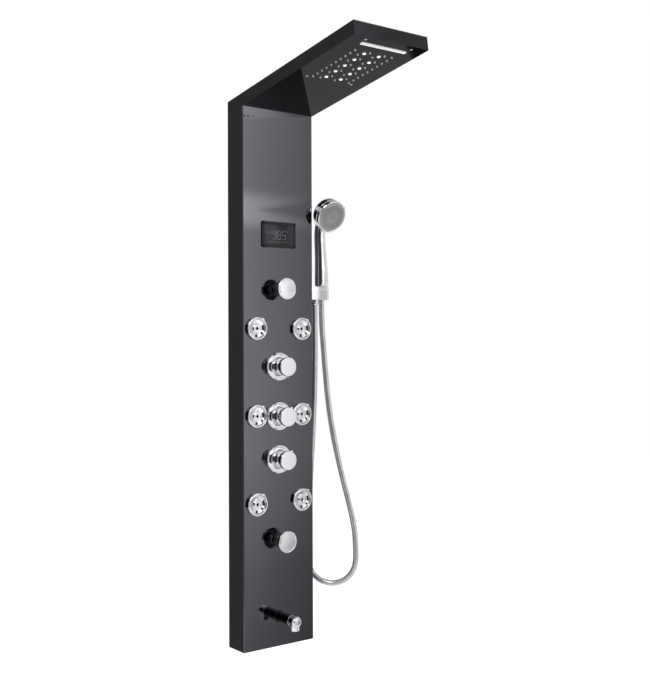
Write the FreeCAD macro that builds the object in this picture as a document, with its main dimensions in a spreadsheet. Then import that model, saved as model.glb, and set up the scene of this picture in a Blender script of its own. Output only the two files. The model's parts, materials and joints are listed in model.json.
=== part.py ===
"""Wall-hung shower panel column: steel column, sloping rain arm, jets, mixer, spout and handset.

Millimetres.  +X is to the right of someone facing the panel, -Y comes out of the wall and +Z
is up.  The origin is the centre of the four wall screws, on the wall.  Heights in the sheet
are counted from the bottom of the column.
"""
import FreeCAD, Part
import math
import os

import Sketcher

document = FreeCAD.newDocument("ShowerPanel")
sheet = document.addObject("Spreadsheet::Sheet", "Sizes")
Vector = FreeCAD.Vector
NODES = []
HALF_TURN = 180.0


# ---------------------------------------------------------------- sizes that know their formula

class Size(float):
    """A number that remembers the spreadsheet formula that gives it."""

    def __new__(cls, number, formula=None):
        size = super().__new__(cls, number)
        size.formula = formula or f"({number:.6f})"
        return size

    def __add__(self, other):
        return Size(float(self) + float(other), f"({self.formula} + {formula_of(other)})")

    __radd__ = __add__

    def __neg__(self):
        return Size(-float(self), f"(-1 * {self.formula})")

    def __sub__(self, other):
        return self + -as_size(other)

    def __rsub__(self, other):
        return as_size(other) + -self

    def __mul__(self, other):
        return Size(float(self) * float(other), f"({self.formula} * {formula_of(other)})")

    __rmul__ = __mul__

    def __truediv__(self, other):
        return Size(float(self) / float(other), f"({self.formula} / {formula_of(other)})")


def as_size(number):
    return number if isinstance(number, Size) else Size(float(number))


def formula_of(number):
    return as_size(number).formula


def tangent(angle):
    return Size(math.tan(math.radians(angle)), f"tan({angle.formula} * 1 deg)")


def sine(angle):
    return Size(math.sin(math.radians(angle)), f"sin({angle.formula} * 1 deg)")


def cosine(angle):
    return Size(math.cos(math.radians(angle)), f"cos({angle.formula} * 1 deg)")


def cell(alias, number, note):
    """Writes one driving size to the sheet and gives it back as a Size."""
    row = cell.row = getattr(cell, "row", 0) + 1
    sheet.set(f"A{row}", note)
    sheet.set(f"B{row}", str(number))
    sheet.setAlias(f"B{row}", alias)
    return Size(number, f"Sizes.{alias}")


# Column and arm
column_width = cell("column_width", 200.0, "Column, side to side")
column_depth = cell("column_depth", 65.0, "Column, wall to front face")
column_height = cell("column_height", 1260.0, "Column, bottom to the arm's underside at the wall")
steel = cell("steel", 1.5, "Steel sheet of the column and arm")
fold_radius = cell("fold_radius", 2.0, "Outer radius of the folded edges")
return_lip = cell("return_lip", 18.0, "Lip folded in along the wall")
bottom_lip = cell("bottom_lip", 15.0, "Lip folded in along the open bottom")
arm_angle = cell("arm_angle", 9.0, "Rise of the arm, degrees")
arm_length = cell("arm_length", 488.0, "Underside of the arm, wall to front")
arm_thickness = cell("arm_thickness", 31.0, "Arm, square to its underside")

# Clearances
gap = cell("gap", 0.3, "Air between pieces that move past each other")
fit = cell("fit", 0.05, "Radial clearance of a stem in its bore")
seam = cell("seam", 0.5, "Air round a panel set in its frame")

# Wall fixing
mount_height = cell("mount_height", 650.0, "Centre of the wall screws above the column's bottom")
screws_apart_up = cell("screws_apart_up", 900.0, "Upper to lower wall screws")
screws_apart_across = cell("screws_apart_across", 100.0, "Left to right wall screws")
wall_screw_hole = cell("wall_screw_hole", 2.75, "Radius of a wall screw's hole")
bracket_width = cell("bracket_width", 140.0, "Wall bracket, side to side")
bracket_drop = cell("bracket_drop", 15.0, "Bracket's plate below its screws")
bracket_steel = cell("bracket_steel", 2.0, "Thickness of the wall bracket")
hook_reach = cell("hook_reach", 10.0, "Hook of the bracket, out from the wall")
hook_height = cell("hook_height", 22.0, "Top of the hook above the screws")

# Display
display_wide = cell("display_wide", 97.0, "Display frame, side to side")
display_tall = cell("display_tall", 61.0, "Display frame, top to bottom")
display_proud = cell("display_proud", 3.0, "Display frame above the column's face")
display_border = cell("display_border", 6.5, "Border of the display frame")
display_window_thick = cell("display_window_thick", 1.8, "Glass of the display")
display_module_deep = cell("display_module_deep", 14.0, "Display module behind the face")
display_above = cell("display_above", 129.5, "Display, above the upper swivel jet")

# Body jets
jet_side = cell("jet_side", 64.0, "Body jets, out from the middle")
jet_height_top = cell("jet_height_top", 752.5, "Top pair of body jets")
jet_height_middle = cell("jet_height_middle", 547.3, "Middle pair of body jets")
jet_height_low = cell("jet_height_low", 341.2, "Bottom pair of body jets")
jet_radius = cell("jet_radius", 27.0, "Rim of a body jet")
jet_proud = cell("jet_proud", 8.0, "Rim of a body jet above the face")
jet_rim = cell("jet_rim", 3.6, "Width of the turning rim")
jet_tail = cell("jet_tail", 12.0, "Threaded tail of a body jet, radius")
jet_nozzle = cell("jet_nozzle", 10.5, "Raised nozzle of a body jet, radius")
jet_dish = cell("jet_dish", 3.6, "Dish round the nozzle, above the face")
jet_pocket = cell("jet_pocket", 3.0, "Depth of the pockets sunk in the dish")
tail_reach = cell("tail_reach", 26.0, "Threaded tails, in from the outer face")
nut_thick = cell("nut_thick", 8.0, "Back nuts")
nut_wall = cell("nut_wall", 4.0, "Back nuts, wall outside the thread")

# Swivel jets
swivel_height_top = cell("swivel_height_top", 846.0, "Upper swivel jet")
swivel_height_low = cell("swivel_height_low", 251.0, "Lower swivel jet")
swivel_base = cell("swivel_base", 17.0, "Base ring of a swivel jet, radius")
swivel_base_proud = cell("swivel_base_proud", 6.0, "Base ring above the face")
swivel_tail = cell("swivel_tail", 12.7, "Threaded tail of a swivel jet, radius")
swivel_ball = cell("swivel_ball", 11.0, "Ball of a swivel jet, radius")
swivel_pivot = cell("swivel_pivot", 7.0, "Centre of the ball above the face")
swivel_head = cell("swivel_head", 25.3, "Head of a swivel jet, radius")
swivel_proud = cell("swivel_proud", 36.5, "Head of a swivel jet above the face")
swivel_head_thick = cell("swivel_head_thick", 9.0, "Rim of the head")
swivel_neck = cell("swivel_neck", 7.5, "Neck between ball and head, radius")
swivel_collar = cell("swivel_collar", 13.0, "Collar on the neck, radius")
swivel_collar_tall = cell("swivel_collar_tall", 3.0, "Collar on the neck, front to back")

display_height = swivel_height_top + display_above

# Knobs
diverter_height = cell("diverter_height", 662.6, "Diverter knob")
mixer_height = cell("mixer_height", 544.7, "Temperature knob")
flow_height = cell("flow_height", 442.5, "Flow knob")
flange_radius = cell("flange_radius", 35.3, "Flange behind a knob")
flange_proud = cell("flange_proud", 10.0, "Flange above the face")
sleeve_radius = cell("sleeve_radius", 19.5, "Sleeve of a knob")
cap_radius = cell("cap_radius", 22.5, "Cap of a knob")
cap_start = cell("cap_start", 31.0, "Cap of a knob, from the face")
knob_proud = cell("knob_proud", 41.0, "End of a knob above the face")
cartridge_radius = cell("cartridge_radius", 16.0, "Valve cartridge")
cartridge_deep = cell("cartridge_deep", 20.0, "Cartridge, in from the outer face")
stem_radius = cell("stem_radius", 4.0, "Stem between a knob and its cartridge")
stem_deep = cell("stem_deep", 8.0, "Stem, in from the outer face")
peg_radius = cell("peg_radius", 2.4, "Stop peg on a knob")
peg_reach = cell("peg_reach", 25.5, "End of the stop peg from the knob's axis")

# Spout
spout_height = cell("spout_height", 70.0, "Spout")
spout_radius = cell("spout_radius", 12.2, "Black tube of the spout")
spout_bore = cell("spout_bore", 8.5, "Bore of the spout")
spout_collar = cell("spout_collar", 15.4, "Collar of the spout on the face, radius")
spout_collar_tall = cell("spout_collar_tall", 2.6, "Collar of the spout above the face")
spout_tube_end = cell("spout_tube_end", 49.0, "Black tube above the face")
spout_tip_radius = cell("spout_tip_radius", 13.0, "Chrome tip of the spout")
spout_proud = cell("spout_proud", 76.0, "End of the spout above the face")
spout_drop = cell("spout_drop", 62.5, "Outlet of the spout above the face")
spout_outlet = cell("spout_outlet", 23.0, "Outlet below the spout's axis")
aerator_radius = cell("aerator_radius", 9.0, "Aerator")
aerator_tall = cell("aerator_tall", 9.0, "Aerator, top to bottom")

# Spray plate in the arm
plate_thick = cell("plate_thick", 1.5, "Spray plate")
nozzle_rows = 10
nozzle_pitch = cell("nozzle_pitch", 16.6, "Rain nozzles, along the arm")
nozzle_inset = cell("nozzle_inset", 62.0, "Front row of rain nozzles, from the arm's front")
nozzle_column = cell("nozzle_column", 20.0, "Rain nozzles, across the arm")
nozzle_radius = cell("nozzle_radius", 2.2, "Rain nozzle at the plate")
nozzle_tip = cell("nozzle_tip", 1.4, "Rain nozzle at its tip")
nozzle_drop = cell("nozzle_drop", 2.7, "Rain nozzle below the plate")
mat_thick = cell("mat_thick", 1.5, "Silicone mat behind the nozzles")
light_radius = cell("light_radius", 4.4, "Light lens")
light_drop = cell("light_drop", 2.2, "Light lens below the plate")
light_pitch = cell("light_pitch", 33.2, "Lights along the arm")
light_inset = cell("light_inset", 69.5, "Front row of lights, from the arm's front")
lights_per_row = 5
JET_POCKETS = ((-14.0, 28.0), (-52.0, -28.0), (-108.0, -86.0))
fall_wide = cell("fall_wide", 120.0, "Waterfall slot, side to side")
fall_tall = cell("fall_tall", 8.0, "Waterfall slot, front to back")
fall_inset = cell("fall_inset", 30.0, "Waterfall slot, from the arm's front")
fall_lip = cell("fall_lip", 1.2, "Wall of the waterfall lip")
fall_lip_drop = cell("fall_lip_drop", 1.8, "Waterfall lip below the plate")
plate_screw_side = cell("plate_screw_side", 62.0, "Spray plate's screws, out from the middle")
plate_screw_inset = cell("plate_screw_inset", 13.0, "Front screws, from the arm's front")
plate_screws_apart = cell("plate_screws_apart", 205.0, "Front to back screws of the plate")
plate_screw_long = cell("plate_screw_long", 6.0, "Plate screws, above the plate")
lug_half = cell("lug_half", 4.0, "Lugs that the plate screws go into, half width")
chamber_tall = cell("chamber_tall", 13.0, "Rain chamber")
chamber_wall = cell("chamber_wall", 2.0, "Wall of a water chamber")
fall_chamber_tall = cell("fall_chamber_tall", 26.0, "Waterfall chamber")

nozzle_first = arm_length - nozzle_inset
light_first = arm_length - light_inset
fall_place = arm_length - fall_inset
plate_screw_front = arm_length - plate_screw_inset
plate_screw_back = plate_screw_front - plate_screws_apart

# Plumbing
pipe_radius = cell("pipe_radius", 5.5, "Copper pipes")
pipe_bend = cell("pipe_bend", 16.0, "Bend of a pipe")
pipe_depth = cell("pipe_depth", 31.0, "Pipes, out from the wall")
valve_radius = cell("valve_radius", 14.0, "Brass bodies of the valves")
rail_radius = cell("rail_radius", 7.0, "Pipes that feed the body jets")
inlet_radius = cell("inlet_radius", 10.48, "G1/2 supply thread")
inlet_length = cell("inlet_length", 14.0, "G1/2 supply thread, length")
inlet_side = cell("inlet_side", 36.0, "Supply inlets, out from the middle")
turbine_radius = cell("turbine_radius", 14.0, "Water turbine that powers the lights")
turbine_tall = cell("turbine_tall", 46.0, "Water turbine, top to bottom")
turbine_height = cell("turbine_height", 1090.0, "Middle of the water turbine")

# Holder, hose and handset
holder_reach = cell("holder_reach", 52.0, "Holder, out from the column's side")
holder_bottom = cell("holder_bottom", 824.0, "Bottom of the holder")
holder_tall = cell("holder_tall", 33.0, "Holder, top to bottom")
holder_front = cell("holder_front", 63.0, "Front of the holder, from the wall")
holder_deep = cell("holder_deep", 32.0, "Holder, front to back")
outlet_out = cell("outlet_out", 20.0, "Hose outlet, out from the column's side")
socket_out = cell("socket_out", 41.0, "Handset's axis, out from the column's side")
cone_top = cell("cone_top", 12.0, "Cone nut at its top, radius")
cone_end = cell("cone_end", 9.6, "Cone nut at its end, radius")
cone_below = cell("cone_below", 2.0, "Cone nut below the holder")
cone_stub = cell("cone_stub", 7.5, "Stub of the handset in the cone nut, radius")
handle_gap = cell("handle_gap", 2.0, "Handle above the holder")
hose_radius = cell("hose_radius", 7.2, "Steel hose")
holder_slot = cell("holder_slot", 15.4, "Slot that lets the hose out of the holder")
nipple_radius = cell("nipple_radius", 8.0, "Nipple under the holder")
outlet_nut = cell("outlet_nut", 9.8, "Nut of the hose at the outlet, radius")
outlet_nut_tall = cell("outlet_nut_tall", 11.0, "Nut of the hose, top to bottom")
handle_wide = cell("handle_wide", 18.0, "Handle at its foot, half width")
handle_deep = cell("handle_deep", 14.5, "Handle at its foot, half depth")
handle_neck = cell("handle_neck", 13.5, "Handle at its neck, radius")
handle_tall = cell("handle_tall", 125.0, "Handle, foot to neck")
handle_lean = cell("handle_lean", 7.0, "Neck of the handle, nearer the wall than its foot")
head_radius = cell("head_radius", 40.0, "Head of the handset")
head_thick = cell("head_thick", 32.0, "Head of the handset, face to back")
head_dome = cell("head_dome", 20.0, "Rounded back of the head, front to back")
head_angle = cell("head_angle", 26.0, "Face of the handset below level, degrees")
head_out = cell("head_out", 46.0, "Centre of the face, in front of the handle")
head_above = cell("head_above", 201.0, "Centre of the face, above the holder's bottom")
head_ring_tall = cell("head_ring_tall", 9.0, "Turning ring of the head")
head_ring_wall = cell("head_ring_wall", 4.0, "Wall of the turning ring")


# ------------------------------------------------------------------------------- small helpers

def bind(thing, name, size):
    """Sets a property, and its formula where the size has one."""
    setattr(thing, name, float(size))
    if isinstance(size, Size):
        thing.setExpression(name, size.formula)


def place(thing, x=0.0, y=0.0, z=0.0, axis=None, angle=0.0):
    """Puts a piece at x, y and z, turned about an axis, all bound to the sheet."""
    turn = FreeCAD.Rotation(axis or Vector(0, 0, 1), float(angle))
    thing.Placement = FreeCAD.Placement(Vector(x, y, z), turn)
    for letter, size in zip("xyz", (x, y, z)):
        if isinstance(size, Size):
            thing.setExpression(f"Placement.Base.{letter}", size.formula)
    if isinstance(angle, Size):
        thing.setExpression("Placement.Rotation.Angle", angle.formula)


def on_wall(thing, x, out, height):
    """Stands a piece at a height above the column's bottom, with its own axes upright."""
    place(thing, x, -as_size(out), height - mount_height)


def on_front(thing, x, height):
    """Puts a piece on the column's face: its Z comes out of the face and its Y points up."""
    place(thing, x, -column_depth, height - mount_height, Vector(1, 0, 0), 90.0)


def on_arm(thing):
    """Puts a piece under the arm: its Y runs out from the wall and its Z points down."""
    place(thing, 0.0, 0.0, column_height - mount_height, Vector(1, 0, 0), HALF_TURN - arm_angle)


def arm_point(x, along, below):
    """The point of the model at a place in the arm's own axes."""
    out = along * cosine(arm_angle) + below * sine(arm_angle)
    height = column_height + along * sine(arm_angle) - below * cosine(arm_angle)
    return Vector(x, -out, height - mount_height)


def wall_point(x, out, height):
    return Vector(x, -float(out), float(height) - float(mount_height))


def node(thing, label):
    """Names a piece: its label is the name of its file."""
    thing.Label = label
    NODES.append(thing)
    return thing


def new_body(label, kept=True):
    body = document.addObject("PartDesign::Body", label)
    if kept:
        node(body, label)
    return body


def plane_of(body, role):
    return [item for item in body.Origin.OriginFeatures if item.Role == role][0]


def arc_between(start, end, radius):
    """The short arc from start to end: counter-clockwise where the radius is positive."""
    chord = end - start
    middle = (start + end) * 0.5
    side = Vector(-chord.y, chord.x, 0).normalize()
    rise = math.sqrt(radius * radius - chord.Length ** 2 / 4)
    centre = middle + side * math.copysign(rise, radius)
    crown = centre - side * math.copysign(abs(float(radius)), radius)
    return Part.Arc(start, crown, end)


def draw(sketch, outline):
    """Draws a closed outline of (x, y) corners; a third number is the radius of the arc there."""
    first = sketch.GeometryCount
    corners = [Vector(corner[0], corner[1], 0) for corner in outline]
    ends = []
    for index, corner in enumerate(outline):
        start, end = corners[index - 1], corners[index]
        if len(corner) == 2:
            sketch.addGeometry(Part.LineSegment(start, end))
            ends.append((1, 2))
            continue
        radius = corner[2]
        number = sketch.addGeometry(arc_between(start, end, float(radius)))
        ends.append((1, 2) if radius > 0 else (2, 1))
        rule = sketch.addConstraint(Sketcher.Constraint("Radius", number, abs(float(radius))))
        if isinstance(radius, Size):
            sign = "" if radius > 0 else "-1 * "
            sketch.setExpression(f"Constraints[{rule}]", f"({sign}{radius.formula})")
    for index, corner in enumerate(outline):
        after = (index + 1) % len(outline)
        here, there = (first + index, ends[index][1]), (first + after, ends[after][0])
        sketch.addConstraint(Sketcher.Constraint("Coincident", *here, *there))
        fix_point(sketch, here, corner)


def fix_point(sketch, spot, corner):
    """Ties one point of a sketch to its two sizes."""
    for kind, size, axis in (("DistanceX", corner[0], -2), ("DistanceY", corner[1], -1)):
        if float(size) == 0.0:
            sketch.addConstraint(Sketcher.Constraint("PointOnObject", *spot, axis))
            continue
        rule = sketch.addConstraint(Sketcher.Constraint(kind, -1, 1, *spot, float(size)))
        if isinstance(size, Size):
            sketch.setExpression(f"Constraints[{rule}]", size.formula)


def draw_circle(sketch, x, y, radius):
    number = sketch.addGeometry(Part.Circle(Vector(x, y, 0), Vector(0, 0, 1), float(radius)))
    rule = sketch.addConstraint(Sketcher.Constraint("Radius", number, float(radius)))
    if isinstance(radius, Size):
        sketch.setExpression(f"Constraints[{rule}]", radius.formula)
    fix_point(sketch, (number, 3), (x, y))


def sketch_on(body, role, outlines=(), circles=()):
    """A sketch on one of the body's own planes, with closed outlines and circles."""
    sketch = body.newObject("Sketcher::SketchObject", "Sketch")
    sketch.AttachmentSupport = (plane_of(body, role), [""])
    sketch.MapMode = "FlatFace"
    for outline in outlines:
        draw(sketch, outline)
    for circle in circles:
        draw_circle(sketch, *circle)
    return sketch


def lift(sketch, size):
    """Moves a sketch off its plane, along the plane's normal."""
    sketch.AttachmentOffset = FreeCAD.Placement(Vector(0, 0, size), FreeCAD.Rotation())
    if isinstance(size, Size):
        sketch.setExpression("AttachmentOffset.Base.z", size.formula)
    return sketch


def pad(body, sketch, length, midplane=False, reverse=False):
    feature = body.newObject("PartDesign::Pad", "Pad")
    feature.Profile = sketch
    feature.Midplane = midplane
    feature.Reversed = reverse
    bind(feature, "Length", length)
    return feature


def pocket(body, sketch, length=None, midplane=False, reverse=False):
    """Cuts a sketch through the body, or to a depth."""
    feature = body.newObject("PartDesign::Pocket", "Pocket")
    feature.Profile = sketch
    feature.Midplane = midplane
    feature.Reversed = reverse
    if length is None:
        feature.Type = "ThroughAll"
    else:
        bind(feature, "Length", length)
    return feature


def turned(label, outline, kept=True):
    """A turned piece: an outline of (radius, height) spun about the body's own Z axis."""
    body = new_body(label, kept)
    feature = body.newObject("PartDesign::Revolution", "Turned")
    feature.Profile = sketch_on(body, "XZ_Plane", [outline])
    feature.ReferenceAxis = (feature.Profile[0], ["V_Axis"])
    feature.Angle = 360.0
    return body


def box_outline(low_x, low_y, high_x, high_y):
    return [(low_x, low_y), (high_x, low_y), (high_x, high_y), (low_x, high_y)]


def mirrored(low_x, low_y, high_x, high_y):
    """A box outline and its mirror image across the middle."""
    return [box_outline(low_x, low_y, high_x, high_y), box_outline(-high_x, low_y, -low_x, high_y)]


def spun(outline, degrees):
    """An outline turned about its plane's origin."""
    across, up = math.cos(math.radians(degrees)), math.sin(math.radians(degrees))
    return [(x * across - y * up, x * up + y * across) for x, y in outline]


def sector(inner, outer, low, high):
    """A piece of a ring between two angles, in degrees."""
    (low_x, low_y), (high_x, high_y) = [
        (math.cos(math.radians(angle)), math.sin(math.radians(angle))) for angle in (low, high)]
    return [(inner * low_x, inner * low_y, -inner), (outer * low_x, outer * low_y),
            (outer * high_x, outer * high_y, outer), (inner * high_x, inner * high_y)]


def hexagon(flat, x=0.0, y=0.0):
    """A hexagon by half its width across the flats."""
    corner = flat / math.cos(math.pi / 6)
    turns = [math.radians(60 * number) for number in range(6)]
    return [(x + corner * math.cos(turn), y + corner * math.sin(turn)) for turn in turns]


def group(label, form, spots):
    """Copies of one form at several spots, as one node of separate solids."""
    document.recompute()
    copies = []
    for spot in spots:
        copy = form.Shape.copy()
        copy.Placement = spot.multiply(form.Shape.Placement)
        copies.append(copy)
    thing = document.addObject("Part::Feature", label)
    thing.Shape = Part.makeCompound(copies)
    return node(thing, label)


def front_spot(x, height):
    base = Vector(x, -column_depth, float(height) - float(mount_height))
    return FreeCAD.Placement(base, FreeCAD.Rotation(Vector(1, 0, 0), 90))


def arm_spot(x=0.0, along=0.0, below=0.0):
    turn = FreeCAD.Rotation(Vector(1, 0, 0), HALF_TURN - float(arm_angle))
    return FreeCAD.Placement(arm_point(x, along, below), turn)


def wall_spot(x, out, height):
    return FreeCAD.Placement(wall_point(x, out, height), FreeCAD.Rotation())


def bent_path(points, bend=None):
    """Straight runs joined by tangent arcs; with no bend given, each arc fills its runs."""
    edges, radii, start = [], [], points[0]
    for before, corner, after in zip(points, points[1:], points[2:]):
        inward = (before - corner).normalize()
        onward = (after - corner).normalize()
        half_turn = (math.pi - inward.getAngle(onward)) / 2
        shorter = min(before.distanceToPoint(corner), after.distanceToPoint(corner))
        trim = 0.45 * shorter
        if bend:
            trim = min(trim, float(bend) * math.tan(half_turn))
        radius = trim / math.tan(half_turn)
        into, out = corner + inward * trim, corner + onward * trim
        to_centre = (inward + onward).normalize()
        crown = corner + to_centre * (radius / math.cos(half_turn) - radius)
        edges.append(Part.LineSegment(start, into).toShape())
        edges.append(Part.Arc(into, crown, out).toShape())
        radii.append(radius)
        start = out
    edges.append(Part.LineSegment(start, points[-1]).toShape())
    return Part.Wire(edges), radii


def tube_shape(points, radius, bend=None):
    path, radii = bent_path(points, bend)
    ring = Part.makeCircle(float(radius), points[0], points[1] - points[0])
    return path.makePipeShell([Part.Wire(ring)], True, False), path.Length, radii


def pipe(label, runs, extra=()):
    """A bent pipe, or several, with any solids that are brazed to them."""
    shapes = [tube_shape(points, pipe_radius, pipe_bend)[0] for points in runs]
    thing = document.addObject("Part::Feature", label)
    thing.Shape = joined(shapes, extra)
    return node(thing, label)


def joined(shapes, extra=()):
    """One shape: extra solids are fused to the first, and the rest stay separate."""
    first = shapes[0].fuse(list(extra)).removeSplitter() if extra else shapes[0]
    return first if len(shapes) == 1 else Part.makeCompound([first] + shapes[1:])


def round_edges(body, radius, wanted):
    """Rounds the edges of the body's last feature that the test picks."""
    document.recompute()
    base = body.Tip
    edges = base.Shape.Edges
    names = [f"Edge{number + 1}" for number, edge in enumerate(edges) if wanted(edge)]
    feature = body.newObject("PartDesign::Fillet", "Rounded")
    feature.Base = (base, names)
    bind(feature, "Radius", radius)
    return feature


# --------------------------------------------------------------------------------- steel column

def column():
    """Folded steel column: face, two sides, and lips along the wall and the open bottom."""
    half = column_width / 2
    inner = half - steel
    lip = half - return_lip
    slope = tangent(arm_angle)
    body = new_body("column_casing")
    section = [
        (-half, 0.0), (-half, -column_depth), (half, -column_depth), (half, 0.0),
        (lip, 0.0), (lip, -steel), (inner, -steel), (inner, steel - column_depth),
        (-inner, steel - column_depth), (-inner, -steel), (-lip, -steel), (-lip, 0.0),
    ]
    above = column_depth * slope + steel
    pad(body, sketch_on(body, "XY_Plane", [section]), column_height + above)
    bottom = box_outline(-half, -column_depth, half, bottom_lip - column_depth)
    pad(body, sketch_on(body, "XY_Plane", [bottom]), steel)
    out = column_depth + steel
    mitre = [
        (steel, column_height - steel * slope),
        (steel, column_height + out * slope + steel),
        (-out, column_height + out * slope + steel),
        (-out, column_height + out * slope),
    ]
    pocket(body, sketch_on(body, "YZ_Plane", [mitre]), midplane=True)
    circles = [(side * jet_side, level, jet_tail + gap) for side in (-1, 1) for level in jet_levels()]
    circles += [(0.0, level, swivel_tail + gap) for level in (swivel_height_top, swivel_height_low)]
    circles += [(0.0, level, cartridge_radius + gap) for level in knob_levels()]
    circles.append((0.0, spout_height, spout_radius + fit))
    wide = display_wide / 2 - display_border
    tall = display_tall / 2 - display_border
    window = box_outline(-wide, display_height - tall, wide, display_height + tall)
    pocket(body, sketch_on(body, "XZ_Plane", [window], circles), midplane=True)
    port = sketch_on(body, "YZ_Plane", [], [(-holder_axis_out(), holder_level(), nipple_radius + gap)])
    pocket(body, port, reverse=True)

    def folded(edge):
        box = edge.BoundBox
        far = abs(abs(box.XMin) - half) < 0.01 and box.XLength < 0.01
        return far and box.YLength < 0.01 and abs(box.YMin + column_depth) < 0.01

    round_edges(body, fold_radius, folded)
    on_wall(body, 0.0, 0.0, 0.0)
    return body


def jet_levels():
    return (jet_height_top, jet_height_middle, jet_height_low)


def knob_levels():
    return (diverter_height, mixer_height, flow_height)


def holder_axis_out():
    """The middle of the holder, out from the wall."""
    return holder_front - holder_deep / 2


def holder_level():
    """The middle of the holder, above the column's bottom."""
    return holder_bottom + holder_tall / 2


def hanger_bars():
    """Two folded bars welded inside the column, which drop over the wall brackets."""
    half = column_width / 2 - steel
    front = -(hook_reach + gap + bracket_steel)
    back = -(hook_reach - bracket_steel - gap)
    top = hook_height + gap
    body = new_body("hanger_bar_form", kept=False)
    section = [
        (front, 0.0), (front + bracket_steel, 0.0), (front + bracket_steel, top), (back, top),
        (back, top / 2), (back + bracket_steel, top / 2), (back + bracket_steel, top + bracket_steel),
        (front, top + bracket_steel),
    ]
    pad(body, sketch_on(body, "YZ_Plane", [section]), half * 2, midplane=True)
    return group("hanger_bars", body, bracket_spots())


def bracket_spots():
    return [wall_spot(0, 0, mount_height + side * screws_apart_up / 2) for side in (1, -1)]


def wall_brackets():
    """Two hooked plates that are screwed to the wall."""
    body = new_body("wall_bracket_form", kept=False)
    back, front = -bracket_steel, -hook_reach
    shelf = hook_height / 3
    section = [
        (0.0, -bracket_drop), (0.0, shelf), (front + bracket_steel, shelf),
        (front + bracket_steel, hook_height), (front, hook_height),
        (front, shelf - bracket_steel), (back, shelf - bracket_steel), (back, -bracket_drop),
    ]
    pad(body, sketch_on(body, "YZ_Plane", [section]), bracket_width, midplane=True)
    holes = [(side * screws_apart_across / 2, 0.0, wall_screw_hole) for side in (-1, 1)]
    pocket(body, sketch_on(body, "XZ_Plane", [], holes), midplane=True)
    return group("wall_brackets", body, bracket_spots())


# ----------------------------------------------------------------------------------- rain arm

def arm_shell():
    """Upper cover of the arm: top, two sides and front, open underneath."""
    half = column_width / 2
    body = new_body("arm_shell")
    lean = arm_thickness * tangent(arm_angle)
    side = [(0.0, 0.0), (arm_length, 0.0), (arm_length, -arm_thickness), (lean, -arm_thickness)]
    pad(body, sketch_on(body, "YZ_Plane", [side]), column_width, midplane=True)
    inside = [
        (-steel, steel), (arm_length - steel, steel), (arm_length - steel, steel - arm_thickness),
        (-steel, steel - arm_thickness),
    ]
    pocket(body, sketch_on(body, "YZ_Plane", [inside]), column_width - steel * 2, midplane=True)

    def folded(edge):
        box = edge.BoundBox
        top_side = abs(abs(box.XMin) - half) < 0.01 and box.ZLength < 0.01
        outer_top = top_side and abs(box.ZMin + arm_thickness) < 0.01 and box.XLength < 0.01
        front = abs(box.YMin - arm_length) < 0.01 and box.YLength < 0.01
        return outer_top or (front and abs(box.ZMin + arm_thickness) < 0.01 and box.XLength > 9)

    round_edges(body, fold_radius, folded)
    on_arm(body)
    return body


def nozzle_spots():
    """Rain nozzles: two full outer columns, and staggered ones beside the lights."""
    spots = []
    for row in range(nozzle_rows):
        along = nozzle_first - row * nozzle_pitch
        inner = (-0.5, 1.5) if row % 2 == 0 else (-1.5, 0.5)
        spots += [(share * nozzle_column, along) for share in (-2.5, *inner, 2.5)]
    return spots


def light_spots():
    rows = range(lights_per_row)
    return [(side * nozzle_column, light_first - row * light_pitch) for row in rows for side in (-1, 1)]


def spray_plate():
    """Steel plate under the arm, with holes for the nozzles, lights, screws and waterfall."""
    half = column_width / 2 - steel - gap
    start = column_depth / cosine(arm_angle) + seam
    body = new_body("spray_plate")
    face = box_outline(-half, start, half, arm_length - steel - gap)
    fall = box_outline(-fall_wide / 2, fall_place - fall_tall / 2, fall_wide / 2, fall_place + fall_tall / 2)
    pad(body, sketch_on(body, "XY_Plane", [face]), plate_thick, reverse=True)
    circles = [(x, along, nozzle_radius + gap) for x, along in nozzle_spots()]
    circles += [(x, along, light_radius + gap) for x, along in light_spots()]
    circles += [(x, along, plate_screw_hole()) for x, along in plate_screws()]
    pocket(body, sketch_on(body, "XY_Plane", [fall], circles), midplane=True)
    on_arm(body)
    return body


def plate_screw_hole():
    return fit + 2.0


def plate_screws():
    return [(side * plate_screw_side, along) for side in (-1, 1)
            for along in (plate_screw_front, plate_screw_back)]


def spray_plate_screws():
    """Four domed screws that hold the spray plate to the lugs of the chambers."""
    shank = plate_screw_hole() - fit
    head = shank + 2.0
    dome = 1.6
    end = -plate_thick - plate_screw_long
    outline = [(0.0, end), (shank, end), (shank, 0.0), (head, 0.0), (head, dome / 2),
               (shank, dome), (0.0, dome)]
    form = turned("plate_screw_form", outline, kept=False)
    return group("spray_plate_screws", form, [arm_spot(x, along) for x, along in plate_screws()])


def chamber(label, half_x, near, far, tall, inlet, lugs, screws_along):
    """A water chamber: a tray open to the plate, with lugs for the plate's screws."""
    body = new_body(label)
    roof = plate_thick + tall
    pad(body, lift(sketch_on(body, "XY_Plane", [box_outline(-half_x, near, half_x, far)]), -roof), tall)
    hollow = box_outline(-half_x + chamber_wall, near + chamber_wall,
                         half_x - chamber_wall, far - chamber_wall)
    cut = lift(sketch_on(body, "XY_Plane", [hollow]), -plate_thick)
    pocket(body, cut, tall - chamber_wall)
    x, below = inlet
    hole = sketch_on(body, "XZ_Plane", [], [(x, -below, pipe_radius + fit)])
    pocket(body, lift(hole, -near), chamber_wall * 2, midplane=True)
    ears = lift(sketch_on(body, "XY_Plane", lugs), -plate_thick)
    pad(body, ears, plate_screw_long + chamber_wall, reverse=True)
    screws = [(side * plate_screw_side, screws_along, plate_screw_hole()) for side in (-1, 1)]
    pocket(body, sketch_on(body, "XY_Plane", [], screws), midplane=True)
    on_arm(body)
    return body


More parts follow.
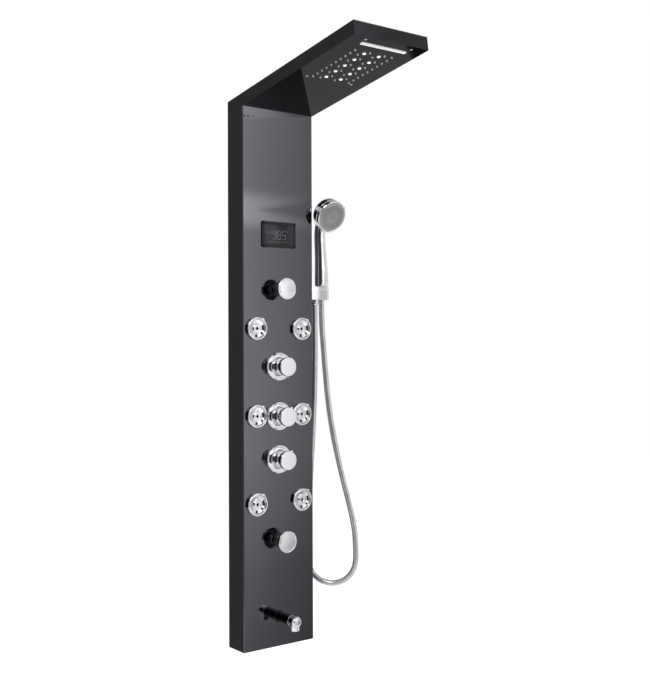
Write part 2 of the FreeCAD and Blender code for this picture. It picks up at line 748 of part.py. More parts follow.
def rain_chamber_edges():
    """Half width, back and front of the rain chamber."""
    half = nozzle_column * 2.5 + light_radius + chamber_wall * 2
    back = nozzle_first - (nozzle_rows - 1) * nozzle_pitch - nozzle_column / 2 - chamber_wall
    return half, back, nozzle_first + nozzle_column / 2


def rain_nozzle_mat():
    """Silicone mat with the rain nozzles, which poke through the plate."""
    half, back, front = rain_chamber_edges()
    inside = gap + chamber_wall
    low = plate_thick + mat_thick
    mat = Part.makeBox(2 * (half - inside), front - back - 2 * inside, mat_thick,
                       Vector(-half + inside, back + inside, -low))
    lens = float(light_flange() + gap)
    holes = [Part.makeCylinder(lens, mat_thick, Vector(x, along, -low)) for x, along in light_spots()]
    cones = []
    for x, along in nozzle_spots():
        shank = Part.makeCylinder(nozzle_radius, plate_thick, Vector(x, along, -plate_thick))
        tip = Part.makeCone(nozzle_radius, nozzle_tip, nozzle_drop, Vector(x, along, 0))
        cones += [shank, tip]
    shape = mat.cut(holes).fuse(cones).removeSplitter()
    thing = document.addObject("Part::Feature", "rain_nozzle_mat")
    thing.Shape = shape
    on_arm(thing)
    return node(thing, "rain_nozzle_mat")


def light_flange():
    return light_radius + 1.0


def light_lenses():
    """Ten clear lenses that drop through the plate between the nozzles."""
    back = -plate_thick - mat_thick
    outline = [(0.0, back), (light_flange(), back), (light_flange(), -plate_thick),
               (light_radius, -plate_thick), (light_radius, light_drop / 2),
               (light_radius * 0.6, light_drop), (0.0, light_drop)]
    form = turned("light_lens_form", outline, kept=False)
    return group("light_lenses", form, [arm_spot(x, along) for x, along in light_spots()])


def light_strips():
    """Two sealed strips of lights, one behind each row of lenses."""
    top = plate_thick + mat_thick
    thick = 2.0
    last = light_first - (lights_per_row - 1) * light_pitch
    strips = []
    for side in (-1, 1):
        corner = Vector(side * nozzle_column - light_flange(), last - light_flange(), -top - thick)
        long = light_first - last + 2 * light_flange()
        strips.append(Part.makeBox(2 * light_flange(), long, thick, corner))
    thing = document.addObject("Part::Feature", "light_strips")
    thing.Shape = Part.makeCompound(strips)
    on_arm(thing)
    return node(thing, "light_strips")


def waterfall_lip():
    """Bright lip round the waterfall slot."""
    body = new_body("waterfall_lip")
    outer_x, outer_y = fall_wide / 2 - fit, fall_tall / 2 - fit
    inner_x, inner_y = outer_x - fall_lip, outer_y - fall_lip
    ring = [box_outline(-outer_x, fall_place - outer_y, outer_x, fall_place + outer_y),
            box_outline(-inner_x, fall_place - inner_y, inner_x, fall_place + inner_y)]
    pad(body, lift(sketch_on(body, "XY_Plane", ring), -plate_thick), plate_thick + fall_lip_drop)
    on_arm(body)
    return body


def fall_chamber_edges():
    half = fall_wide / 2 + chamber_wall
    return half, fall_place - fall_tall - chamber_wall, fall_place + fall_tall / 2 + chamber_wall


# ------------------------------------------------------------------------------ front fittings

def display():
    """Frame, glass and module of the temperature display."""
    wide, tall = display_wide / 2, display_tall / 2
    in_x, in_y = wide - display_border, tall - display_border
    frame = new_body("display_bezel")
    outlines = [box_outline(-wide, -tall, wide, tall), box_outline(-in_x, -in_y, in_x, in_y)]
    pad(frame, sketch_on(frame, "XY_Plane", outlines), display_proud)
    on_front(frame, 0.0, display_height)

    glass = new_body("display_window")
    pane = box_outline(-in_x + fit, -in_y + fit, in_x - fit, in_y - fit)
    start = display_proud - display_window_thick - seam
    pad(glass, lift(sketch_on(glass, "XY_Plane", [pane]), start), display_window_thick)
    on_front(glass, 0.0, display_height)

    module = new_body("display_module")
    board = box_outline(-in_x + seam, -in_y + seam, in_x - seam, in_y - seam)
    deep = display_module_deep
    pad(module, lift(sketch_on(module, "XY_Plane", [board]), start - deep), deep)
    on_front(module, 0.0, display_height)


def body_jets():
    """Six body jets: fixed nozzle and back nut, and a rim that turns to shut the jet."""
    inner = jet_radius - jet_rim
    edge = inner - gap
    lip = jet_proud - 1.4
    foot = jet_nozzle + 2.6
    spots = [front_spot(side * jet_side, level) for level in jet_levels() for side in (-1, 1)]
    nozzle = [
        (3.0, -tail_reach), (jet_tail, -tail_reach), (jet_tail, 0.0), (edge, 0.0),
        (edge, jet_proud - 2.2), (edge - 1.6, jet_proud - 1.6), (edge - 2.4, jet_dish + 0.6),
        (foot, jet_dish), (jet_nozzle, jet_dish), (jet_nozzle, lip - 1.2),
        (jet_nozzle - 1.2, lip, 1.2), (7.2, lip), (7.2, lip - 0.7), (6.1, lip - 0.7), (6.1, lip),
        (4.6, lip), (3.0, lip - 1.6),
    ]
    form = turned("jet_nozzle_form", nozzle, kept=False)
    sunk = [sector(foot + 0.4, edge - 3.0, low, high) for low, high in JET_POCKETS]
    rim_top = 1.0
    pocket(form, lift(sketch_on(form, "XY_Plane", sunk), jet_dish + rim_top), jet_pocket + rim_top)
    group("jet_nozzles", form, spots)

    nut = new_body("jet_nut_form", kept=False)
    hexes = [hexagon(jet_tail + nut_wall)]
    ring = lift(sketch_on(nut, "XY_Plane", hexes, [(0.0, 0.0, jet_tail + fit)]), -steel - nut_thick)
    pad(nut, ring, nut_thick)
    group("jet_back_nuts", nut, spots)

    names = ("top_left", "top_right", "middle_left", "middle_right", "bottom_left", "bottom_right")
    sides = [(side, level) for level in jet_levels() for side in (-1, 1)]
    for name, (side, level) in zip(names, sides):
        rim = turned(f"jet_rim_{name}", [
            (inner, gap), (jet_radius, gap), (jet_radius, jet_proud - 2.2),
            (jet_radius - 2.2, jet_proud, 2.2), (inner + 0.8, jet_proud), (inner, jet_proud - 0.8),
        ])
        lug = sketch_on(rim, "XY_Plane", [[
            (jet_radius * 0.44, jet_radius * 0.82), (jet_radius * 0.66, jet_radius * 0.68),
            (jet_radius * 0.78, jet_radius * 0.78), (jet_radius * 0.56, jet_radius * 0.92),
        ]])
        pad(rim, lift(lug, jet_proud / 2), jet_proud / 2 - gap)
        on_front(rim, side * jet_side, level)


def swivel_jets():
    """Two large jets on ball joints: base and nut, seat ring that turns, head that tilts."""
    levels = (("upper", swivel_height_top), ("lower", swivel_height_low))
    spots = [front_spot(0, level) for _, level in levels]
    cavity = swivel_base - 2.0
    throat = swivel_ball - 1.7
    pit = swivel_pivot - swivel_ball - 1.0
    form = turned("swivel_base_form", [
        (5.0, -tail_reach), (swivel_tail, -tail_reach), (swivel_tail, 0.0), (swivel_base, 0.0),
        (swivel_base, swivel_base_proud - 1.2), (swivel_base - 1.0, swivel_base_proud),
        (cavity, swivel_base_proud), (cavity, 0.5), (throat, 0.5), (throat, pit), (5.0, pit),
    ], kept=False)
    group("swivel_jet_bases", form, spots)

    nut = new_body("swivel_nut_form", kept=False)
    hexes = [hexagon(swivel_tail + nut_wall)]
    ring = lift(sketch_on(nut, "XY_Plane", hexes, [(0.0, 0.0, swivel_tail + fit)]), -steel - nut_thick)
    pad(nut, ring, nut_thick)
    group("swivel_jet_nuts", nut, spots)

    bore = swivel_ball + gap
    low = 0.5 + gap
    high = swivel_pivot + 3.5
    mouth = half_chord(bore, high - swivel_pivot)
    foot = half_chord(bore, swivel_pivot - low)
    for name, level in levels:
        seat = turned(f"{name}_jet_seat", [
            (cavity - fit, low), (cavity - fit, high - 1.5), (cavity - 1.5, high), (mouth, high),
            (bore, swivel_pivot, -bore), (foot, low, -bore),
        ])
        on_front(seat, 0.0, level)
        swivel_head_piece(name, level)


def swivel_head_piece(name, level):
    back = swivel_proud - swivel_head_thick
    ball_end = swivel_pivot + half_chord(swivel_ball, swivel_neck)
    cone = back - 4.0
    collar = cone - swivel_collar_tall * 2
    head = turned(f"{name}_jet_head", [
        (0.0, swivel_pivot - swivel_ball), (swivel_ball, swivel_pivot, swivel_ball),
        (swivel_neck, ball_end, swivel_ball), (swivel_neck, collar), (swivel_collar, collar),
        (swivel_collar, collar + swivel_collar_tall), (swivel_neck, collar + swivel_collar_tall),
        (swivel_neck, cone), (swivel_head - 5.0, back - 1.5), (swivel_head, back + 1.5),
        (swivel_head, swivel_proud - 1.7), (swivel_head - 1.7, swivel_proud, 1.7),
        (swivel_head - 2.6, swivel_proud), (swivel_head - 2.6, swivel_proud - 0.9),
        (swivel_head - 4.6, swivel_proud - 0.9), (swivel_head - 5.2, swivel_proud - 0.3),
        (0.0, swivel_proud - 0.3),
    ])
    tab = box_outline(swivel_head - 2.0, -2.5, swivel_head + 2.1, 2.5)
    pad(head, lift(sketch_on(head, "XY_Plane", [spun(tab, 42.0)]), back + 1.8), swivel_head_thick - 4.0)
    on_front(head, 0.0, level)


def half_chord(radius, offset):
    """Half the chord of a circle at an offset from its centre."""
    radius, offset = as_size(radius), as_size(offset)
    number = math.sqrt(float(radius) ** 2 - float(offset) ** 2)
    return Size(number, f"sqrt({radius.formula} ^ 2 - {offset.formula} ^ 2)")


def knobs():
    """Three knobs on stems, with their fixed flanges and cartridges."""
    spots = [front_spot(0, level) for level in knob_levels()]
    bore = cartridge_radius + gap
    flange = turned("flange_form", [
        (bore, 0.0), (flange_radius, 0.0), (flange_radius, 2.0),
        (flange_radius - 9.0, flange_proud, flange_proud + 2.0), (bore + 2.5, flange_proud),
        (bore, flange_proud - 1.5),
    ], kept=False)
    group("knob_flanges", flange, spots)

    top = flange_proud - 2.0
    cartridge = turned("cartridge_form", [
        (0.0, -cartridge_deep), (cartridge_radius, -cartridge_deep), (cartridge_radius, top - 3.0),
        (cartridge_radius - 5.0, top), (stem_radius + fit, top), (stem_radius + fit, -stem_deep - 1.0),
        (0.0, -stem_deep - 1.0),
    ], kept=False)
    group("valve_cartridges", cartridge, spots)

    start = flange_proud + gap
    groove = (start + cap_start) / 2
    pegs = {"diverter_knob": 180.0, "temperature_knob": -30.0, "flow_knob": -30.0}
    for (name, angle), level in zip(pegs.items(), knob_levels()):
        knob = turned(name, [
            (0.0, -stem_deep), (stem_radius, -stem_deep), (stem_radius, start),
            (sleeve_radius - 0.8, start), (sleeve_radius, start + 0.8), (sleeve_radius, groove - 1.4),
            (sleeve_radius - 1.3, groove - 0.8), (sleeve_radius - 1.3, groove + 0.8),
            (sleeve_radius, groove + 1.4), (sleeve_radius, cap_start),
            (cap_radius - 0.8, cap_start), (cap_radius, cap_start + 0.8),
            (cap_radius, knob_proud - 1.6), (cap_radius - 1.6, knob_proud, 1.6), (0.0, knob_proud),
        ])
        middle = (cap_start + knob_proud) / 2
        turn = math.radians(angle + 90)
        peg = knob.newObject("PartDesign::AdditiveCylinder", "Peg")
        bind(peg, "Radius", peg_radius)
        bind(peg, "Height", peg_reach - cap_radius + 3.0)
        inside = cap_radius - 3.0
        spin = FreeCAD.Rotation(Vector(0, 0, 1), angle + 90) * FreeCAD.Rotation(Vector(0, 1, 0), 90)
        spot = Vector(inside * math.cos(turn), inside * math.sin(turn), middle)
        peg.AttachmentSupport = (plane_of(knob, "XY_Plane"), [""])
        peg.MapMode = "FlatFace"
        peg.AttachmentOffset = FreeCAD.Placement(spot, spin)
        peg.setExpression("AttachmentOffset.Base.x", (inside * math.cos(turn)).formula)
        peg.setExpression("AttachmentOffset.Base.y", (inside * math.sin(turn)).formula)
        peg.setExpression("AttachmentOffset.Base.z", middle.formula)
        on_front(knob, 0.0, level)


def spout():
    """Bath spout: black tube, chrome tip with a downward outlet, aerator and back nut."""
    tube = turned("spout_tube", [
        (spout_bore, -tail_reach), (spout_radius, -tail_reach), (spout_radius, 0.0),
        (spout_collar, 0.0), (spout_collar, spout_collar_tall - 1.0),
        (spout_radius, spout_collar_tall), (spout_radius, spout_tube_end),
        (spout_bore, spout_tube_end),
    ])
    on_front(tube, 0.0, spout_height)

    groove = spout_tube_end + 3.6
    nose = 6.0
    tip = turned("spout_tip", [
        (0.0, spout_tube_end), (spout_tip_radius - 0.8, spout_tube_end),
        (spout_tip_radius, spout_tube_end + 0.8), (spout_tip_radius, groove - 0.5),
        (spout_tip_radius - 0.6, groove), (spout_tip_radius, groove + 0.5),
        (spout_tip_radius, spout_proud - nose), (spout_tip_radius - nose, spout_proud, nose),
        (0.0, spout_proud),
    ])
    shell = aerator_radius + 1.5
    drop = sketch_on(tip, "XZ_Plane", [], [(0.0, spout_drop, shell)])
    pad(tip, drop, spout_outlet)
    hollow = sketch_on(tip, "XZ_Plane", [], [(0.0, spout_drop, aerator_radius + fit)])
    pocket(tip, lift(hollow, spout_outlet), aerator_tall)
    on_front(tip, 0.0, spout_height)

    bottom = spout_outlet + 1.0
    aerator = new_body("spout_aerator")
    disc = sketch_on(aerator, "XZ_Plane", [], [(0.0, spout_drop, aerator_radius)])
    pad(aerator, lift(disc, bottom - aerator_tall), aerator_tall)
    bowl = sketch_on(aerator, "XZ_Plane", [], [(0.0, spout_drop, aerator_radius - 2.0)])
    pocket(aerator, lift(bowl, bottom), 2.0)
    on_front(aerator, 0.0, spout_height)

    nut = new_body("spout_nut")
    ring = sketch_on(nut, "XY_Plane", [hexagon(spout_radius + nut_wall)], [(0.0, 0.0, spout_radius + fit)])
    pad(nut, lift(ring, -steel - nut_thick), nut_thick)
    on_front(nut, 0.0, spout_height)


# ------------------------------------------------------------------------------------ plumbing

def port(x, height, length, radius, axis=Vector(0, 0, 1)):
    """A round boss on a valve or pipe, from the pipes' plane."""
    return Part.makeCylinder(float(radius), float(length), wall_point(x, pipe_depth, height), axis)


def valve_block(label, level, half_wide, ports):
    """A brass valve: a barrel across the panel, a neck to its cartridge, and its ports."""
    start = wall_point(-half_wide, pipe_depth, level)
    barrel = Part.makeCylinder(float(valve_radius), 2 * half_wide, start, Vector(1, 0, 0))
    neck_long = column_depth - cartridge_deep - pipe_depth
    neck = Part.makeCylinder(float(cartridge_radius), float(neck_long),
                             wall_point(0, pipe_depth, level), Vector(0, -1, 0))
    thing = document.addObject("Part::Feature", label)
    thing.Shape = barrel.fuse([neck] + ports).removeSplitter()
    return node(thing, label)


def plumbing():
    """Mixer, flow valve, diverter, supply inlets and the pipes between them."""
    boss = valve_radius + 6.0
    boss_radius = pipe_radius + 2.5
    fall_side, rain_side, hand_side = 17.0, -34.0, 38.0
    rail_edge = jet_side - rail_radius
    between_hoses = inlet_side - inlet_radius - 2.0
    up, down = Vector(0, 0, 1), Vector(0, 0, -1)

    tops = [port(x, diverter_height, boss, boss_radius, up)
            for x in (rain_side, 0.0, fall_side, hand_side)]
    valve_block("diverter_body", diverter_height, rail_edge,
                tops + [port(0.0, diverter_height, boss, boss_radius, down)])
    necks = [port(side * inlet_side, mixer_height, boss, inlet_radius + 2.0, down) for side in (-1, 1)]
    links = [port(0.0, mixer_height, boss, boss_radius, way) for way in (up, down)]
    valve_block("mixer_body", mixer_height, inlet_side + inlet_radius, necks + links)
    spout_side = -15.0
    valve_block("flow_valve_body", flow_height, between_hoses,
                [port(0.0, flow_height, boss, boss_radius, way) for way in (up, down)]
                + [port(spout_side, flow_height, boss, boss_radius, down)])

    inlet = turned("inlet_form", [
        (6.0, -boss - inlet_length), (inlet_radius, -boss - inlet_length), (inlet_radius, -boss),
        (6.0, -boss),
    ], kept=False)
    group("supply_inlets", inlet,
          [wall_spot(side * inlet_side, pipe_depth, mixer_height) for side in (-1, 1)])

    def vertical(x, low, high):
        return [wall_point(x, pipe_depth, low), wall_point(x, pipe_depth, high)]

    straight = [vertical(0.0, mixer_height + boss, diverter_height - boss),
                vertical(0.0, flow_height + boss, mixer_height - boss)]
    pipe("link_pipes", straight)

    rail_parts = []
    for side in (-1, 1):
        rail = Part.makeCylinder(rail_radius, jet_height_top - jet_height_low + 2 * rail_radius,
                                 wall_point(side * jet_side, pipe_depth, jet_height_low - rail_radius), up)
        tees = [Part.makeCylinder(jet_tail, column_depth - tail_reach - pipe_depth,
                                  wall_point(side * jet_side, pipe_depth, level), Vector(0, -1, 0))
                for level in jet_levels()]
        stub = Part.makeCylinder(rail_radius, rail_radius,
                                 wall_point(side * rail_edge, pipe_depth, diverter_height),
                                 Vector(side, 0, 0))
        rail_parts.append(rail.fuse(tees + [stub]).removeSplitter())
    thing = document.addObject("Part::Feature", "jet_rails")
    thing.Shape = Part.makeCompound(rail_parts)
    node(thing, "jet_rails")

    tail_out = column_depth - tail_reach
    tall = diverter_height + boss
    pipe("upper_jet_pipe", [[wall_point(0, pipe_depth, tall), wall_point(0, pipe_depth, swivel_height_top),
                             wall_point(0, tail_out, swivel_height_top)]])
    pipe("lower_jet_pipe", [[wall_point(0, pipe_depth, flow_height - boss),
                             wall_point(0, pipe_depth, swivel_height_low),
                             wall_point(0, tail_out, swivel_height_low)]])
    pipe("spout_pipe", [[wall_point(spout_side, pipe_depth, flow_height - boss),
                         wall_point(spout_side, pipe_depth, spout_height + 4 * pipe_bend),
                         wall_point(0, pipe_depth, spout_height + 2 * pipe_bend),
                         wall_point(0, pipe_depth, spout_height),
                         wall_point(0, tail_out, spout_height)]])
    stub_end = column_width / 2 - holder_stub()
    pipe("handset_pipe", [[wall_point(hand_side, pipe_depth, tall),
                           wall_point(hand_side, pipe_depth, holder_level()),
                           wall_point(stub_end - pipe_bend, holder_axis_out(), holder_level()),
                           wall_point(stub_end, holder_axis_out(), holder_level())]])

    rain_half, rain_back, rain_front = rain_chamber_edges()
    fall_half, fall_back, fall_front = fall_chamber_edges()
    below_rain, below_fall = rain_pipe_below(), fall_pipe_below()
    pipe("rain_pipe", [[wall_point(rain_side, pipe_depth, tall),
                        arm_corner(rain_side, below_rain), arm_point(rain_side, rain_back + 1, -below_rain)]])
    pipe("waterfall_pipe", [[wall_point(fall_side, pipe_depth, tall),
                             arm_corner(fall_side, below_fall),
                             arm_point(fall_side, fall_back + 1, -below_fall)]])
    ear = plate_screw_side + lug_half
    rain_ears = mirrored(rain_half - chamber_wall, plate_screw_back - lug_half,
                         ear, plate_screw_back + lug_half)
    fall_ears = mirrored(plate_screw_side - 2 * lug_half, fall_front - chamber_wall,
                         ear, plate_screw_front + lug_half)
    chamber("rain_chamber", rain_half, rain_back, rain_front, chamber_tall,
            (rain_side, below_rain), rain_ears, plate_screw_back)
    chamber("waterfall_chamber", fall_half, fall_back, fall_front, fall_chamber_tall,
            (fall_side, below_fall), fall_ears, plate_screw_front)

    half = turbine_tall / 2
    turbine = turned("water_turbine", [
        (pipe_radius + fit, -half), (turbine_radius - 3, -half), (turbine_radius, -half + 4),
        (turbine_radius, half - 4), (turbine_radius - 3, half), (pipe_radius + fit, half),
    ])
    place(turbine, rain_side, -pipe_depth, turbine_height - mount_height)


def rain_pipe_below():
    """How far the rain pipe runs above the plate."""
    return plate_thick + chamber_tall / 2


def fall_pipe_below():
    return plate_thick + chamber_tall + pipe_radius + gap


def arm_corner(x, above):
    """Where a pipe that climbs the column meets its run above the spray plate."""
    along = (pipe_depth + above * sine(arm_angle)) / cosine(arm_angle)
    return arm_point(x, along, -above)


# ------------------------------------------------------------------- holder, hose and handset

def holder():
    """Chrome block on the column's side: hose outlet below, open socket for the handset."""
    half = column_width / 2
    deep = holder_deep / 2
    level = holder_tall / 2
    body = new_body("holder_block")
    block = box_outline(0.0, -deep, holder_reach, deep)
    pad(body, sketch_on(body, "XY_Plane", [block]), holder_tall)
    stub = sketch_on(body, "YZ_Plane", [], [(0.0, level, nipple_radius)])
    pad(body, stub, holder_stub(), reverse=True)
    spigot = sketch_on(body, "XY_Plane", [], [(outlet_out, 0.0, nipple_radius)])
    pad(body, spigot, 4.0, reverse=True)
    socket = cone_top + gap
    slot = [(socket_out, -holder_slot / 2), (holder_reach + 1.0, -holder_slot / 2),
            (holder_reach + 1.0, holder_slot / 2), (socket_out, holder_slot / 2)]
    pocket(body, sketch_on(body, "XY_Plane", [], [(socket_out, 0.0, socket)]), midplane=True)
    pocket(body, sketch_on(body, "XY_Plane", [slot]), midplane=True)
    place(body, half, -holder_axis_out(), holder_bottom - mount_height)

    nut = new_body("holder_nut")
    ring = sketch_on(nut, "YZ_Plane", [hexagon(nipple_radius + nut_wall)], [(0.0, 0.0, nipple_radius + fit)])
    pad(nut, ring, nut_thick, reverse=True)
    place(nut, half - steel, -holder_axis_out(), holder_level() - mount_height)

    hose_nut = turned("hose_outlet_nut", [
        (0.0, -outlet_nut_tall - 2.0), (hose_radius, -outlet_nut_tall - 2.0),
        (outlet_nut, -outlet_nut_tall + 1.0), (outlet_nut, 0.0), (nipple_radius + fit, 0.0),
        (nipple_radius + fit, -4.5), (0.0, -4.5),
    ])
    place(hose_nut, half + outlet_out, -holder_axis_out(), holder_bottom - mount_height)


def holder_stub():
    """The holder's threaded stub, in from the column's side."""
    return steel + nut_thick + 2.0


def hose_route():
    """The hose's corners by hand: down from the outlet, round the loop and up to the handset."""
    outlet = column_width / 2 + outlet_out
    axis = column_width / 2 + socket_out
    out = holder_axis_out()
    return [wall_point(*spot) for spot in (
        (outlet, out, holder_bottom - outlet_nut_tall - 2.0),
        (outlet, out, 746.0), (121.0, 45.6, 668.0), (121.8, 41.4, 582.0), (121.6, 35.2, 494.0),
        (121.0, 28.4, 408.0), (120.3, 22.0, 330.0), (120.0, 17.6, 262.0), (120.5, 15.3, 208.0),
        (121.4, 14.9, 163.7), (137.6, 29.7, 132.4), (164.3, 55.0, 120.5), (191.0, 80.2, 132.4),
        (207.5, 95.8, 163.7), (208.0, 96.3, 213.0), (205.3, 93.9, 264.0), (194.6, 86.4, 322.0),
        (181.2, 76.5, 388.0), (168.2, 67.0, 460.0), (156.9, 58.6, 540.0), (149.6, 53.3, 624.0),
        (145.0, 49.9, 704.0),
        (axis, out, 768.0), (axis, out, holder_bottom - cone_below),
    )]


def hose():
    """Steel hose, hung in a long loop beside the column."""
    shape, length, radii = tube_shape(hose_route(), hose_radius)
    section = math.pi * float(hose_radius) ** 2
    print(f"hose: {length:.0f} mm long, volume / (section x length) = {shape.Volume / section / length:.5f}")
    print("hose radii:", " ".join(f"{radius:.0f}" for radius in radii))
    thing = document.addObject("Part::Feature", "hose")
    thing.Shape = shape
    node(thing, "hose")


def handset():
    """Cone nut of the hose, handle with its head, turning ring and spray face."""
    axis_x = column_width / 2 + socket_out
    axis_y = -holder_axis_out()
    foot = holder_bottom + holder_tall + handle_gap
    cone_tall = holder_tall + cone_below + handle_gap - gap
    cone = turned("hose_cone_nut", [
        (0.0, 0.0), (cone_end, 0.0), (cone_top, cone_tall - 6.0), (cone_top, cone_tall),
        (cone_stub + fit, cone_tall), (cone_stub + fit, cone_tall - 11.0), (0.0, cone_tall - 11.0),
    ])
    place(cone, axis_x, axis_y, holder_bottom - cone_below - mount_height)

    def ring(height, wide, deep, lean, tilt):
        """A section of the handle, tilted towards the head by some degrees."""
        middle = wall_point(axis_x, float(holder_axis_out()) - lean, foot + height)
        edge = Part.Ellipse(Vector(0, 0, 0), float(wide), float(deep)).toShape()
        edge.Placement = FreeCAD.Placement(middle, FreeCAD.Rotation(Vector(1, 0, 0), tilt))
        return Part.Wire(edge)

    tall, lean = float(handle_tall), float(handle_lean)
    back = head_frame(axis_x).multVec(Vector(0, 0, -head_thick * 0.45))
    neck_wide = handle_neck + 1.0
    rise = float(back.z + mount_height) - float(foot)
    reach = -float(holder_axis_out()) - back.y
    sections = [(0.0, handle_wide, handle_deep, 0.0, 0.0),
                (tall * 0.30, handle_wide - 0.8, handle_deep - 0.6, lean * 0.1, 2.0),
                (tall * 0.62, handle_wide - 2.8, handle_neck + 0.2, lean * 0.5, 4.0),
                (tall, neck_wide, handle_neck, lean, -4.0),
                (tall + (rise - tall) * 0.55, neck_wide, handle_neck, lean * 0.45, 28.0),
                (rise, neck_wide, handle_neck, -reach, 90.0 - float(head_angle))]
    grip = Part.makeLoft([ring(*section) for section in sections], True, False)
    stub_shape = Part.makeCylinder(float(cone_stub), 9.0 + float(gap),
                                   wall_point(axis_x, holder_axis_out(), foot - 9.0 - gap))
    frame = head_frame(axis_x)
    ring_in = head_ring_tall + gap
    middle = Vector(0, 0, head_dome - head_thick)
    side, crown = middle + Vector(head_radius, 0, 0), middle - Vector(0, 0, head_dome)
    dome = Part.ArcOfEllipse(Part.Ellipse(side, crown, middle), 0, math.pi / 2).toShape()
    step = Part.makePolygon([crown, Vector(0, 0, -3.0), Vector(head_core(), 0, -3.0),
                             Vector(head_core(), 0, -ring_in), Vector(head_radius, 0, -ring_in), side])
    outline = Part.Wire([dome] + step.Edges)
    head = Part.Face(outline).revolve(Vector(0, 0, 0), Vector(0, 0, 1), 360)
    head.Placement = frame
    thing = document.addObject("Part::Feature", "handset_body")
    thing.Shape = grip.fuse([stub_shape, head]).removeSplitter()
    node(thing, "handset_body")

    face = turned("handset_face", [(0.0, -3.0), (head_core(), -3.0), (head_core(), -0.6),
                                   (head_core() - 1.0, 0.2), (0.0, 0.8)])
    face.Placement = frame
    outer = turned("handset_ring", [
        (head_core() + gap, -head_ring_tall), (head_radius, -head_ring_tall),
        (head_radius, -2.5), (head_radius - 1.2, -0.4), (head_radius - 2.4, 0.0),
        (head_core() + gap, -0.8),
    ])
    tab = sketch_on(outer, "XY_Plane", [box_outline(-4.0, head_radius - 1.5, 4.0, head_radius + 2.0)])
    pad(outer, lift(tab, -head_ring_tall), head_ring_tall - 2.0)
    outer.Placement = frame.multiply(FreeCAD.Placement(Vector(), FreeCAD.Rotation(Vector(0, 0, 1), -55)))


def head_core():
    """Radius of the spray face inside the turning ring."""
    return head_radius - head_ring_wall


def head_frame(axis_x):
    """Placement of the handset's face: its Z comes out of the face."""
    spot = wall_point(axis_x, holder_axis_out() + head_out, holder_bottom + head_above)
    return FreeCAD.Placement(spot, FreeCAD.Rotation(Vector(1, 0, 0), 90 + float(head_angle)))


# ---------------------------------------------------------------------------------- the model

def check_and_write():
    """Stops if any object failed or any piece is not a valid solid, then writes the pieces."""
    document.recompute()
    for thing in document.Objects:
        if {"Invalid", "Error"} & set(thing.State):
            raise RuntimeError(f"{thing.Label} failed: {thing.State}")
    os.makedirs("parts", exist_ok=True)
    for thing in NODES:
        shape = thing.Shape
        if shape.isNull() or not shape.isValid() or not shape.Solids:
            raise RuntimeError(f"{thing.Label} is not a valid solid")
        shape.exportStep(os.path.join("parts", f"{thing.Label}.step"))
    print(len(NODES), "pieces written")


document.recompute()
column()
hanger_bars()
wall_brackets()
arm_shell()
spray_plate()
spray_plate_screws()
rain_nozzle_mat()
light_lenses()
light_strips()
waterfall_lip()
display()
body_jets()
swivel_jets()
knobs()
spout()
plumbing()
holder()
hose()
handset()
check_and_write()
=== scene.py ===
"""Dresses a shower panel column: chrome fittings, steel hose, black steel and a pale studio."""

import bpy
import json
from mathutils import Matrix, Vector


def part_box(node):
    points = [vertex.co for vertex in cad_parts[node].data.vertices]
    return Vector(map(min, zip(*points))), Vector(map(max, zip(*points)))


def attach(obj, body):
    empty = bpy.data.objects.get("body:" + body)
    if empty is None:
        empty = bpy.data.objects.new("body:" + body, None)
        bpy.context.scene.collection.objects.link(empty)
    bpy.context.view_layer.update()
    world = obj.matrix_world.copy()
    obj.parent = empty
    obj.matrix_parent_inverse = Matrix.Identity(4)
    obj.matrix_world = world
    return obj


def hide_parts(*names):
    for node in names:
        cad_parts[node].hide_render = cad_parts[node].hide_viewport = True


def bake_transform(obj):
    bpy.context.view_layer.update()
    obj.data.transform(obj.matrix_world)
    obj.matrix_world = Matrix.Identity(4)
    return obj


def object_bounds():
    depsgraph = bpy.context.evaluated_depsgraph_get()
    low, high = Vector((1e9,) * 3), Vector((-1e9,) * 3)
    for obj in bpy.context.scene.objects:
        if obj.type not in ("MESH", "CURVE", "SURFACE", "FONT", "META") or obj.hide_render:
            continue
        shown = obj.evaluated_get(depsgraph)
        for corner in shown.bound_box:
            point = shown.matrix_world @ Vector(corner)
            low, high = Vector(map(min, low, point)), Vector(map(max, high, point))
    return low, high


bl_info = {
    "name": "Shower Panel Column",
    "version": (1, 0, 0),
    "blender": (4, 5, 0),
    "location": "3D View > Sidebar > Shower Panel",
    "description": "Dresses the pieces of a shower panel column and sets up its studio",
    "category": "Object",
}

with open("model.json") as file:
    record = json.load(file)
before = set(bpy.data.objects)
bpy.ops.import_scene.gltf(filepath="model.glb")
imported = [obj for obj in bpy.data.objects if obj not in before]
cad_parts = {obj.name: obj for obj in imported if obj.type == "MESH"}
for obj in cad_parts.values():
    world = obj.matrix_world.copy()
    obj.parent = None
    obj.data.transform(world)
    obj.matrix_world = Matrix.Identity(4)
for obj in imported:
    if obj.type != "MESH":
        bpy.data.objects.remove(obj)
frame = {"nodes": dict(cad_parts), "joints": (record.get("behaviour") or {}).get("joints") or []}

import json
from functools import cache
from math import atan2, cos, pi, radians, sin, sqrt, tan

import bmesh
import bpy
from bpy.props import FloatProperty, FloatVectorProperty, IntProperty, PointerProperty
from mathutils import Matrix, Vector

CAD_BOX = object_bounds()
MM = 0.001
IN_MM = Matrix.Scale(MM, 4)
NODES = frame["nodes"]
JOINTS = {joint["name"]: joint for joint in frame["joints"]}
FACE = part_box("column_casing")[0].y
ARM_RISE = radians(9.0)
ARM_ROOT = Vector((0.0, 0.0, 0.610))
SMOOTH_BELOW = radians(32.0)
# Width of the strip beside a rounded edge, in millimetres, which keeps flat faces flat.
EDGE_STRIP = 0.15
# Back end of the stems behind the column's face, in millimetres.
STEM = -26.0

JET_PLACES = [f"{level}_{side}" for level in ("top", "middle", "bottom")
              for side in ("left", "right")]
